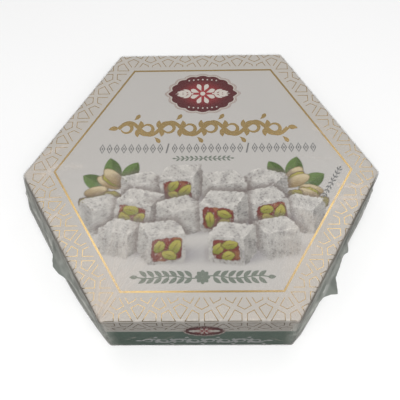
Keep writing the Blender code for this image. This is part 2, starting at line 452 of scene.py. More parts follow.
class Net:
    """Lays nodes in one tree and joins them."""

    def __init__(self, tree: bpy.types.NodeTree) -> None:
        """Start from an empty tree."""
        self.tree = tree
        tree.nodes.clear()

    def add(self, kind: str, inputs: dict | None = None, **settings: object) -> bpy.types.Node:
        """Add one node.

        Args:
            kind: the node's type name.
            inputs: values or sockets for its inputs, by name or number.
            settings: its properties.

        Returns:
            The node.
        """
        node = self.tree.nodes.new(kind)
        for name, value in settings.items():
            setattr(node, name, value)
        for name, value in (inputs or {}).items():
            self.put(node.inputs[name], value)
        return node

    def put(self, socket: bpy.types.NodeSocket, value: Socket) -> None:
        """Join an output to an input, or set the input to a plain value."""
        if isinstance(value, bpy.types.NodeSocket):
            self.tree.links.new(value, socket)
        elif socket.type == "RGBA" and len(value) == 3:
            socket.default_value = (*value, 1.0)
        else:
            socket.default_value = value

    def math(self, operation: str, first: Socket, second: Socket = 0.0) -> bpy.types.NodeSocket:
        """One Math node, with its result kept between 0 and 1 where its name ends in +."""
        clamped = operation.endswith("+")
        settings = {"operation": operation.rstrip("+"), "use_clamp": clamped}
        return self.add("ShaderNodeMath", {0: first, 1: second}, **settings).outputs[0]

    def ramp(self, value: Socket, low: float, high: float) -> bpy.types.NodeSocket:
        """Rise smoothly from 0 to 1 as the value goes from low to high."""
        inputs = {"Value": value, "From Min": low, "From Max": high}
        node = self.add("ShaderNodeMapRange", inputs, interpolation_type="SMOOTHSTEP")
        return node.outputs["Result"]

    def blend(self, share: Socket, first: Socket, second: Socket) -> bpy.types.NodeSocket:
        """Mix two colours: share 0 gives the first, share 1 the second."""
        node = self.add("ShaderNodeMix", data_type="RGBA")
        self.put(node.inputs["Factor"], share)
        self.put(node.inputs[6], first)
        self.put(node.inputs[7], second)
        return node.outputs[2]

    def shaded(self, colour: Socket, level: Socket) -> bpy.types.NodeSocket:
        """Multiply a colour by a number."""
        node = self.add("ShaderNodeVectorMath", operation="SCALE")
        self.put(node.inputs[0], colour)
        self.put(node.inputs["Scale"], level)
        return node.outputs[0]

    def place(self) -> bpy.types.NodeSocket:
        """Where a point is on the piece, in metres."""
        return self.add("ShaderNodeTexCoord").outputs["Object"]

    def noise(self, where: Socket, scale: Socket, detail: float = 2.0) -> bpy.types.NodeSocket:
        """Soft noise from 0 to 1 with features of about one over the scale."""
        inputs = {"Vector": where, "Scale": scale, "Detail": detail}
        return self.add("ShaderNodeTexNoise", inputs).outputs["Fac"]

    def ridges(self, where: Socket, scale: Socket) -> bpy.types.NodeSocket:
        """Sharp ridges from 0 to 1, where soft noise passes through its middle."""
        swing = self.math("ABSOLUTE", self.math("SUBTRACT", self.noise(where, scale, 2.0), 0.5))
        return self.math("POWER", self.math("SUBTRACT+", 1.0, self.math("MULTIPLY", swing, 5.0)), 1.6)

    def seen_from(self, given: dict) -> tuple[Socket, Socket]:
        """How far a point lies ahead of and aside from a place and heading.

        Args:
            given: the point Where, the place X, Y and the Heading; where Wall is 1,
                Y is a height.

        Returns:
            The two distances in metres.
        """
        spot = self.add("ShaderNodeSeparateXYZ", {0: given["Where"]}).outputs
        raised = self.math("MULTIPLY", self.math("SUBTRACT", spot["Z"], spot["Y"]), given["Wall"])
        x = self.math("SUBTRACT", spot["X"], given["X"])
        y = self.math("SUBTRACT", self.math("ADD", spot["Y"], raised), given["Y"])
        flat = self.add("ShaderNodeCombineXYZ", {0: x, 1: y}).outputs[0]
        angle = self.math("MULTIPLY", given["Heading"], -1.0)
        turn = {"Vector": flat, "Angle": angle}
        turned = self.add("ShaderNodeVectorRotate", turn, rotation_type="Z_AXIS").outputs[0]
        ahead = self.add("ShaderNodeSeparateXYZ", {0: turned}).outputs
        return ahead["X"], ahead["Y"]

    def passed_on(self, out: bpy.types.Node, where: Socket, height: Socket) -> bpy.types.NodeTree:
        """End a group with its height, and with the point, moved by next to nothing.

        The next group takes its point from this one, so the groups are worked out
        one after another and few values have to be kept at once.
        """
        inputs = {0: height, 1: (1e-9, 1e-9, 1e-9), 2: where}
        moved = self.add("ShaderNodeVectorMath", inputs, operation="MULTIPLY_ADD").outputs[0]
        self.put(out.inputs["Height"], height)
        self.put(out.inputs["Where"], moved)
        return self.tree

    def use(self, group: bpy.types.NodeTree, inputs: dict) -> bpy.types.Node:
        """Place a shared group with its own values."""
        node = self.add("ShaderNodeGroup", node_tree=group)
        for name, value in inputs.items():
            self.put(node.inputs[name], value)
        return node

    def bump(self, height: Socket, distance: float) -> bpy.types.NodeSocket:
        """Turn a height from 0 to 1 into a normal, at a depth in metres."""
        inputs = {"Height": height, "Distance": distance, "Strength": 1.0}
        return self.add("ShaderNodeBump", inputs).outputs["Normal"]


def new_group(name: str, inputs: dict, outputs: dict) -> tuple[Net, dict, bpy.types.Node]:
    """Start a shared group of shader nodes.

    Args:
        name: the group's name.
        inputs: default value of each input, by name; three numbers make a colour,
            and None makes a place.
        outputs: kind of each output, by name.

    Returns:
        Its net, its input sockets by name, and its output node.
    """
    tree = bpy.data.node_groups.new(name, "ShaderNodeTree")
    for label, value in inputs.items():
        kind = {tuple: "Color", type(None): "Vector"}.get(type(value), "Float")
        socket = tree.interface.new_socket(label, in_out="INPUT", socket_type=f"NodeSocket{kind}")
        if value is not None:
            socket.default_value = (*value, 1.0) if kind == "Color" else value
    for label, kind in outputs.items():
        tree.interface.new_socket(label, in_out="OUTPUT", socket_type=kind)
    net = Net(tree)
    given = net.add("NodeGroupInput").outputs
    return net, {label: given[label] for label in inputs}, net.add("NodeGroupOutput")


PLACED = {"Where": None, "X": 0.0, "Y": 0.0, "Heading": 0.0, "Wall": 0.0, "Seed": 0.0}
PASSED = {"Height": "NodeSocketFloat", "Where": "NodeSocketVector"}


class Effects:
    """Shared effects, each a group that is built once."""

    def __init__(self) -> None:
        """Build every group."""
        self.paper = self.paper_grain()
        self.fan = self.tension_fan()
        self.crease = self.sheen_streak()
        self.tucks = self.edge_tucks()
        self.wear = self.fold_wear()

    @staticmethod
    def paper_grain() -> bpy.types.NodeTree:
        """Coated board: fine fibre mottling and slow blotches, in colour and height."""
        ins = {"Colour": (0.5, 0.5, 0.5), "Fibre": 900.0, "Blotch": 45.0, "Strength": 0.06}
        outs = {"Colour": "NodeSocketColor", "Height": "NodeSocketFloat"}
        net, given, out = new_group("paper_grain", ins, outs)
        where = net.place()
        fibre = net.noise(where, given["Fibre"], 4.0)
        blotch = net.noise(where, given["Blotch"], 2.0)
        both = net.math("SUBTRACT", net.math("ADD", fibre, blotch), 1.0)
        level = net.math("ADD", net.math("MULTIPLY", both, given["Strength"]), 1.0)
        net.put(out.inputs["Colour"], net.shaded(given["Colour"], level))
        net.put(out.inputs["Height"], fibre)
        return net.tree

    @staticmethod
    def fold_wear() -> bpy.types.NodeTree:
        """Rubbed folds: the given share, broken up by noise, blends in a worn colour."""
        ins = {"Colour": (0.5, 0.5, 0.5), "Worn": (0.6, 0.6, 0.6), "Share": 0.0, "Scale": 700.0}
        net, given, out = new_group("fold_wear", ins, {"Colour": "NodeSocketColor"})
        patchy = net.ramp(net.noise(net.place(), given["Scale"], 4.0), 0.42, 0.66)
        share = net.math("MULTIPLY+", patchy, given["Share"])
        net.put(out.inputs["Colour"], net.blend(share, given["Colour"], given["Worn"]))
        return net.tree

    @staticmethod
    def tension_fan() -> bpy.types.NodeTree:
        """Creases that spread from one point of a taut film.

        With angle a and distance r seen from the point, the height is a ridge
        noise of (Lines a, Drift r), times exp(-(r - Start) / Reach), from the
        distance Start on, inside a wedge of half-width Wedge round the heading.
        """
        ins = PLACED | {"Lines": 20.0, "Drift": 30.0, "Start": 0.0, "Reach": 0.03, "Wedge": 1.0}
        net, given, out = new_group("tension_fan", ins, PASSED)
        ahead, aside = net.seen_from(given)
        angle = net.math("ARCTAN2", aside, ahead)
        squares = net.math("ADD", net.math("POWER", ahead, 2.0), net.math("POWER", aside, 2.0))
        distance = net.math("SQRT", squares)
        across = net.math("MULTIPLY", angle, given["Lines"])
        outward = net.math("MULTIPLY", distance, given["Drift"])
        where = net.add("ShaderNodeCombineXYZ", {0: across, 1: outward, 2: given["Seed"]}).outputs[0]
        begun = net.ramp(net.math("SUBTRACT", distance, given["Start"]), 0.0, 0.004)
        fade = net.math("EXPONENT", net.math("DIVIDE", net.math("SUBTRACT", given["Start"], distance), given["Reach"]))
        inside = net.math("DIVIDE", net.math("ABSOLUTE", angle), given["Wedge"])
        wedge = net.math("SUBTRACT", 1.0, net.ramp(inside, 0.45, 1.0))
        shown = net.math("MULTIPLY", net.math("MULTIPLY", fade, begun), wedge)
        height = net.math("MULTIPLY", net.ridges(where, 1.0), shown)
        return net.passed_on(out, given["Where"], height)

    @staticmethod
    def sheen_streak() -> bpy.types.NodeTree:
        """One soft streak along a crease, the shape of a painted highlight: exp(-(aside / Width)^2), faded towards its
        ends, and patchy.
        """
        ins = PLACED | {"Length": 0.005, "Width": 0.001, "Bow": 0.0}
        net, given, out = new_group("sheen_streak", ins, PASSED)
        ahead, aside = net.seen_from(given)
        bowed = net.math("SUBTRACT", aside, net.math("MULTIPLY", given["Bow"], net.math("POWER", ahead, 2.0)))
        across = net.math("POWER", net.math("DIVIDE", bowed, given["Width"]), 2.0)
        soft = net.math("EXPONENT", net.math("MULTIPLY", across, -1.0))
        along = net.math("ABSOLUTE", net.math("DIVIDE", ahead, given["Length"]))
        ends = net.math("SUBTRACT", 1.0, net.ramp(along, 0.45, 1.0))
        where = net.add("ShaderNodeCombineXYZ", {0: ahead, 1: bowed, 2: given["Seed"]}).outputs[0]
        patchy = net.ramp(net.noise(where, 520.0, 3.0), 0.30, 0.62)
        height = net.math("MULTIPLY", net.math("MULTIPLY", soft, ends), patchy)
        return net.passed_on(out, given["Where"], height)

    @staticmethod
    def edge_tucks() -> bpy.types.NodeTree:
        """Short tucks that run outwards: ridges over the direction from the pack's middle."""
        ins = {"Fineness": 110.0, "Drift": 40.0, "Seed": 0.0}
        net, given, out = new_group("edge_tucks", ins, {"Height": "NodeSocketFloat"})
        plan = net.add("ShaderNodeVectorMath", {0: net.place(), 1: (1.0, 1.0, 0.0)}, operation="MULTIPLY")
        unit = net.add("ShaderNodeVectorMath", {0: plan.outputs[0]}, operation="NORMALIZE").outputs[0]
        length = net.add("ShaderNodeVectorMath", {0: plan.outputs[0]}, operation="LENGTH").outputs["Value"]
        spot = net.add("ShaderNodeSeparateXYZ", {0: net.shaded(unit, given["Fineness"])}).outputs
        outward = net.math("ADD", net.math("MULTIPLY", length, given["Drift"]), given["Seed"])
        where = net.add("ShaderNodeCombineXYZ", {0: spot["X"], 1: spot["Y"], 2: outward}).outputs[0]
        patchy = net.ramp(net.noise(net.place(), 75.0, 1.0), 0.40, 0.62)
        net.put(out.inputs["Height"], net.math("MULTIPLY", net.ridges(where, 1.0), patchy))
        return net.tree


# ==== finishes =====================================================================


SHEEN = 0.15               # the board's and inks' own gloss, which is weak under the film


def new_material(name: str) -> tuple[bpy.types.Material, Net, bpy.types.Node]:
    """Make a material whose tree holds only its output node."""
    material = bpy.data.materials.new(name)
    material.use_nodes = True
    net = Net(material.node_tree)
    return material, net, net.add("ShaderNodeOutputMaterial")


def dress(piece: bpy.types.Object, material: bpy.types.Material) -> bpy.types.Object:
    """Give a new piece its material and its slot, and let it ride on the pack."""
    piece.data.materials.append(material)
    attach(piece, ROOT)
    return piece


@dataclass(frozen=True)
class BoardFinish:
    """Coated board: faint mottling, and folds rubbed pale where fold is above 0.

    Attributes:
        name: the material's name.
        colour: the board's colour.
        worn: its colour where it is rubbed.
        border: its colour outside the frame, if that differs.
        roughness: of the coating.
        fibre: how fine the fibres are, in features to the metre.
        strength: how far the mottling moves the colour.
    """

    name: str
    colour: Colour
    worn: Colour
    border: Colour | None = None
    roughness: float = 0.5
    fibre: float = 900.0
    strength: float = 0.05

    def made(self, effects: Effects) -> bpy.types.Material:
        """Build the material from the shared grain and wear."""
        material, net, out = new_material(self.name)
        outside = net.add("ShaderNodeAttribute", attribute_name="border").outputs["Fac"]
        tone = net.blend(outside, self.colour, self.border) if self.border else self.colour
        grain = net.use(effects.paper, {"Colour": tone, "Fibre": self.fibre, "Strength": self.strength})
        fold = net.add("ShaderNodeAttribute", attribute_name="fold").outputs["Fac"]
        worn = {"Colour": grain.outputs["Colour"], "Worn": self.worn, "Share": fold}
        colour = net.use(effects.wear, worn).outputs["Colour"]
        skin = {"Base Color": colour, "Roughness": self.roughness, "Specular IOR Level": SHEEN}
        skin["Normal"] = net.bump(grain.outputs["Height"], 0.00002)
        shader = net.add("ShaderNodeBsdfPrincipled", skin)
        net.put(out.inputs["Surface"], shader.outputs[0])
        return material


@dataclass(frozen=True)
class InkFinish:
    """Printing ink: the board's mottling under one colour, or under a tint per point.

    Attributes:
        name: the material's name.
        colour: the ink's colour.
        roughness: of the dry ink.
        tinted: whether the point colours named tint take the colour's place.
    """

    name: str
    colour: Colour
    roughness: float = 0.42
    tinted: bool = False

    def made(self, effects: Effects) -> bpy.types.Material:
        """Build the material."""
        material, net, out = new_material(self.name)
        tint = net.add("ShaderNodeAttribute", attribute_name="tint").outputs["Color"]
        ins = {"Colour": tint if self.tinted else self.colour, "Fibre": 1400.0, "Strength": 0.10}
        grain = net.use(effects.paper, ins)
        skin = {"Base Color": grain.outputs["Colour"], "Roughness": self.roughness}
        skin |= {"Normal": net.bump(grain.outputs["Height"], 0.00001), "Specular IOR Level": SHEEN}
        shader = net.add("ShaderNodeBsdfPrincipled", skin)
        net.put(out.inputs["Surface"], shader.outputs[0])
        return material


@dataclass(frozen=True)
class FoilFinish:
    """Hot-stamped gold foil: metal with fine speckle where it has not taken."""

    name: str
    colour: Colour
    bare: Colour
    roughness: float = 0.24

    def made(self, effects: Effects) -> bpy.types.Material:
        """Build the material: a patchy share of the foil shows the bare colour."""
        material, net, out = new_material(self.name)
        where = net.place()
        missed = net.ramp(net.noise(where, 2600.0, 3.0), 0.60, 0.72)
        thin = net.math("MULTIPLY", net.noise(where, 130.0, 2.0), 0.35)
        share = net.math("MULTIPLY+", missed, thin)
        grain = net.use(effects.paper, {"Colour": self.colour, "Strength": 0.12})
        colour = net.blend(share, grain.outputs["Colour"], self.bare)
        rough = net.math("ADD", net.math("MULTIPLY", share, 0.25), self.roughness)
        skin = {"Base Color": colour, "Metallic": 1.0, "Roughness": rough}
        skin["Normal"] = net.bump(grain.outputs["Height"], 0.00001)
        shader = net.add("ShaderNodeBsdfPrincipled", skin)
        net.put(out.inputs["Surface"], shader.outputs[0])
        return material


@dataclass(frozen=True)
class PictureFinish:
    """The printed picture: point colours over the board, with sugar grain in the light parts.

    Attributes:
        name: the material's name.
        board: the colour of the board round the picture.
        strength: the board's own mottling.
    """

    name: str
    board: Colour
    strength: float

    def made(self, effects: Effects) -> bpy.types.Material:
        """Build the material: board where cover is 0, and the print where it is 1."""
        material, net, out = new_material(self.name)
        where = net.place()
        tint = net.add("ShaderNodeAttribute", attribute_name="tint").outputs["Color"]
        cover = net.add("ShaderNodeAttribute", attribute_name="cover").outputs["Fac"]
        sugar = net.add("ShaderNodeAttribute", attribute_name="sugar").outputs["Fac"]
        speck = net.math("SUBTRACT", net.noise(where, 1100.0, 5.0), 0.5)
        streak = net.math("SUBTRACT", net.noise(where, 330.0, 4.0), 0.5)
        grain = net.math("ADD", net.math("MULTIPLY", speck, 0.75), net.math("MULTIPLY", streak, 0.70))
        level = net.math("ADD", net.math("MULTIPLY", grain, sugar), 1.0)
        printed = net.shaded(tint, level)
        paper = net.use(effects.paper, {"Colour": self.board, "Strength": self.strength})
        colour = net.blend(cover, paper.outputs["Colour"], printed)
        skin = {"Base Color": colour, "Roughness": 0.45, "Specular IOR Level": SHEEN}
        skin["Normal"] = net.bump(paper.outputs["Height"], 0.00001)
        shader = net.add("ShaderNodeBsdfPrincipled", skin)
        net.put(out.inputs["Surface"], shader.outputs[0])
        return material


@dataclass(frozen=True)
class Fan:
    """One fan of creases in the film, in mm and degrees; height is its strength, both in the bump and in the painted
    highlight.
    """

    x: float
    y: float
    heading: float
    lines: float
    reach: float
    wedge: float
    height: float
    start: float = 0.0

    def laid(self, net: Net, effects: Effects, where: Socket, seed: float) -> tuple[Socket, Socket]:
        """Place the shared group with this fan's values: its height, and the point passed on."""
        ins = {"Where": where, "X": self.x * MM, "Y": self.y * MM, "Heading": math.radians(self.heading)}
        ins |= {"Lines": self.lines, "Reach": self.reach * MM, "Wedge": math.radians(self.wedge)}
        given = net.use(effects.fan, ins | {"Seed": seed, "Start": self.start * MM}).outputs
        return net.math("MULTIPLY", given["Height"], self.height), given["Where"]


@dataclass(frozen=True)
class CreaseSheen:
    """A painted highlight streak along one crease of the film: its middle, heading, half length, half width and
    strength.
    """

    x: float
    y: float
    heading: float
    length: float
    width: float
    height: float
    bow: float = 0.0
    wall: float = 0.0

    def laid(self, net: Net, effects: Effects, where: Socket, seed: float) -> tuple[Socket, Socket]:
        """Place the shared group with this crease's values, as a fan does."""
        ins = {"Where": where, "X": self.x * MM, "Y": self.y * MM, "Heading": math.radians(self.heading)}
        ins |= {"Length": self.length * MM, "Width": self.width * MM, "Bow": self.bow}
        given = net.use(effects.crease, ins | {"Wall": self.wall, "Seed": seed * 0.01}).outputs
        return net.math("MULTIPLY", given["Height"], self.height), given["Where"]


@dataclass(frozen=True)
class FilmFinish:
    """Clear shrink film: see-through and glossy by angle, with painted highlight along its creases, a painted sheen
    over its hazy walls and painted shade in its gathers.

    Attributes:
        name: the material's name.
        clear: what one pass through the film leaves of the light.
        pale: colour of the painted highlight along creases and tucks.
        veil_sheen: colour of the film on the walls, hazy film with a painted sheen of grazing light.
        milky_shade: colour of film gathered in many layers, made dark grey-green by painted shade and reflection.
        roughness: of the gloss.
        index: refractive index behind the gloss.
        faces: how many faces of the film mirror the light.
        crease_sheen: how strongly a full crease shows its painted highlight.
        folds: the fans, which raise the film and add painted highlight, and the crease streaks of painted highlight.
        vents: places of the vent holes, in metres.
        vent_radius: their radius.
    """

    name: str
    clear: Colour
    pale: Colour
    veil_sheen: Colour
    milky_shade: Colour
    roughness: float
    index: float
    faces: float
    crease_sheen: float
    folds: tuple[Fan | CreaseSheen, ...]
    vents: tuple[tuple[float, float], ...]
    vent_radius: float

    def made(self, effects: Effects) -> bpy.types.Material:
        """Build the material."""
        material, net, out = new_material(self.name)
        where = net.place()
        weights = {
            name: net.add("ShaderNodeAttribute", attribute_name=name).outputs["Fac"]
            for name in ("gather", "crumple", "haze", "edge")
        }
        tucks = net.use(effects.tucks, {}).outputs["Height"]
        lines = net.math("MULTIPLY", tucks, weights["edge"])
        raised, passed = lines, where
        # The fans, with the tucks before them, raise the film's bump; every fold and tuck also adds to the painted
        # highlight.
        for number, fold in enumerate(self.folds):
            height, passed = fold.laid(net, effects, passed, number * 7.3)
            lines = net.math("ADD", lines, height)
            raised = lines if isinstance(fold, Fan) else raised
        creased = net.math("MULTIPLY", net.noise(where, 420.0, 3.0), weights["crumple"])
        slow = net.math("MULTIPLY", net.noise(where, 240.0, 2.0), 0.10)
        height = net.math("ADD", net.math("ADD", raised, creased), slow)
        normal = net.bump(height, 0.00012)
        gloss = net.add("ShaderNodeBsdfGlossy", {"Roughness": self.roughness, "Normal": normal})
        clear = net.add("ShaderNodeBsdfTransparent", {"Color": self.clear})
        angle = net.add("ShaderNodeFresnel", {"IOR": self.index, "Normal": normal}).outputs[0]
        inner = net.add("ShaderNodeNewGeometry").outputs["Backfacing"]
        outer = net.math("MULTIPLY", net.math("SUBTRACT", 1.0, inner), self.faces)
        share = net.math("MULTIPLY+", angle, outer)
        film = net.add("ShaderNodeMixShader", {0: share, 1: clear.outputs[0], 2: gloss.outputs[0]})
        veiled = net.math("MULTIPLY+", weights["haze"], 5.0)
        # Colour of the film's haze: the painted highlight colour on the creased top, the painted sheen colour on the
        # walls, and in the gathers the colour of layered film darkened by painted shade and reflection.
        colour = net.blend(weights["gather"], net.blend(veiled, self.pale, self.veil_sheen), self.milky_shade)
        haze = net.add("ShaderNodeBsdfPrincipled", {"Base Color": colour, "Roughness": 0.35, "Normal": normal})
        # Painted highlight along the folds and tucks.
        white = net.math("MULTIPLY+", lines, self.crease_sheen)
        crinkled = net.math("ADD", net.math("MULTIPLY", net.ridges(where, 85.0), 0.7), 0.72)
        # Painted sheen of grazing light over the walls' hazy film, broken into crinkles.
        veil_sheen = net.math("MULTIPLY+", weights["haze"], crinkled)
        dull = net.math("MAXIMUM", net.math("ADD", white, veil_sheen), weights["gather"])
        mixed = net.add("ShaderNodeMixShader", {0: dull, 1: film.outputs[0], 2: haze.outputs[0]})
        open_share: Socket = 0.0
        for x, y in self.vents:
            gap = net.add("ShaderNodeVectorMath", {0: where, 1: (x, y, 0.0)}, operation="DISTANCE")
            rim = net.ramp(gap.outputs["Value"], self.vent_radius * 0.95, self.vent_radius * 1.05)
            open_share = net.math("ADD", open_share, net.math("SUBTRACT", 1.0, rim))
        hole = net.add("ShaderNodeBsdfTransparent").outputs[0]
        cut = net.add("ShaderNodeMixShader", {0: open_share, 1: mixed.outputs[0], 2: hole})
        from_lamp = net.add("ShaderNodeLightPath").outputs["Is Shadow Ray"]
        lit = net.add("ShaderNodeMixShader", {0: from_lamp, 1: cut.outputs[0], 2: clear.outputs[0]})
        net.put(out.inputs["Surface"], lit.outputs[0])
        return material


# ==== board ========================================================================


@dataclass
class Lid:
    """The lid: a board cap, folded at its edges, that leans out at its left corner.

    A closed profile is carried round the hexagon's outline: the outline shrinks
    by the profile's share and stands at the profile's height.
    """

    carton: Carton
    along: int = 30
    around: int = 5
    fold_steps: int = 8
    wall_rows: int = 26

    def profile(self) -> tuple[Array, Array, Array]:
        """The profile from the middle of the top, over the rim, to the inside's middle.

        Returns:
            Share of the outline, height, and how much each ring lies on a fold.
        """
        reach, top, bottom = self.carton.reach, self.carton.top, RIM
        flat = np.linspace(0, reach - LID_FOLD, 20)
        angle = np.linspace(0, np.pi / 2, self.fold_steps + 1)[1:]
        arc = reach - LID_FOLD + LID_FOLD * np.sin(angle)
        wall = np.linspace(top - LID_FOLD, bottom + 0.2 * MM, self.wall_rows)[1:]
        rim = np.array([0.1, 0.8, 1.5]) * MM
        ceiling = np.linspace(reach - BOARD, 0, 6)
        out = [flat, arc, np.full(len(wall), reach), reach - rim, np.full(3, reach - BOARD), ceiling]
        inside = np.linspace(bottom + 0.3 * MM, top - BOARD - 1 * MM, 3)
        heights = [np.full(20, top), top - LID_FOLD + LID_FOLD * np.cos(angle), wall]
        heights += [np.full(3, bottom), inside, np.full(6, top - BOARD)]
        fold = [np.zeros(20), np.sin(2 * angle), bell(wall, 0.8, bottom, 1 * MM), np.ones(3)]
        fold += [np.zeros(3), np.zeros(6)]
        return np.concatenate(out) / reach, np.concatenate(heights), np.concatenate(fold)

    def build(self, material: bpy.types.Material) -> bpy.types.Object:
        """Make the lid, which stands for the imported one."""
        share, height, fold = self.profile()
        outline = hexagon(self.carton.reach, LID_CORNER, self.along, self.around)
        plan = outline[None] * share[:, None, None]
        rings = np.concatenate([plan, np.broadcast_to(height[:, None, None], (*plan.shape[:2], 1))], -1)
        mesh = Mesh.revolved(self.carton.leaned(rings))
        corner = np.tile(np.r_[np.zeros(self.along), np.ones(self.around)], SIDES)
        upright = (height < self.carton.top - LID_FOLD / 2) & (share > 0.99)
        worn = np.maximum(fold[:, None], upright[:, None] * corner * 0.9)
        border = np.broadcast_to(smooth(share, 0.80, 0.88)[:, None], worn.shape)
        for name, mask in (("fold", worn), ("border", border)):
            mesh.values[name] = np.r_[mask[1:-1].ravel(), mask[0, 0], mask[-1, 0]]
        lid = dress(mesh.built("lid_wrap"), material)
        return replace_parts(lid, "lid")


@dataclass
class GreenBand:
    """The printed band round the lower part of the walls: a thin hoop of ink."""

    carton: Carton
    upper: float = 0.0203
    lift: float = 0.02 * MM

    def build(self, material: bpy.types.Material) -> bpy.types.Object:
        """Carry a thin upright strip round the outline, and follow the lean."""
        outline = hexagon(self.carton.reach, LID_CORNER, 30, 5)
        height = np.linspace(self.upper, RIM + 0.1 * MM, 24)
        heights = np.concatenate([height, height[::-1]])
        stands = np.concatenate([np.full(24, self.lift), np.full(24, -self.lift)])
        plan = outline[None] * (1 + stands[:, None, None] / self.carton.reach)
        tall = np.broadcast_to(heights[:, None, None], (*plan.shape[:2], 1))
        mesh = Mesh.tube(self.carton.leaned(np.concatenate([plan, tall], -1)))
        return dress(mesh.built("green_band"), material)


# ==== film =========================================================================


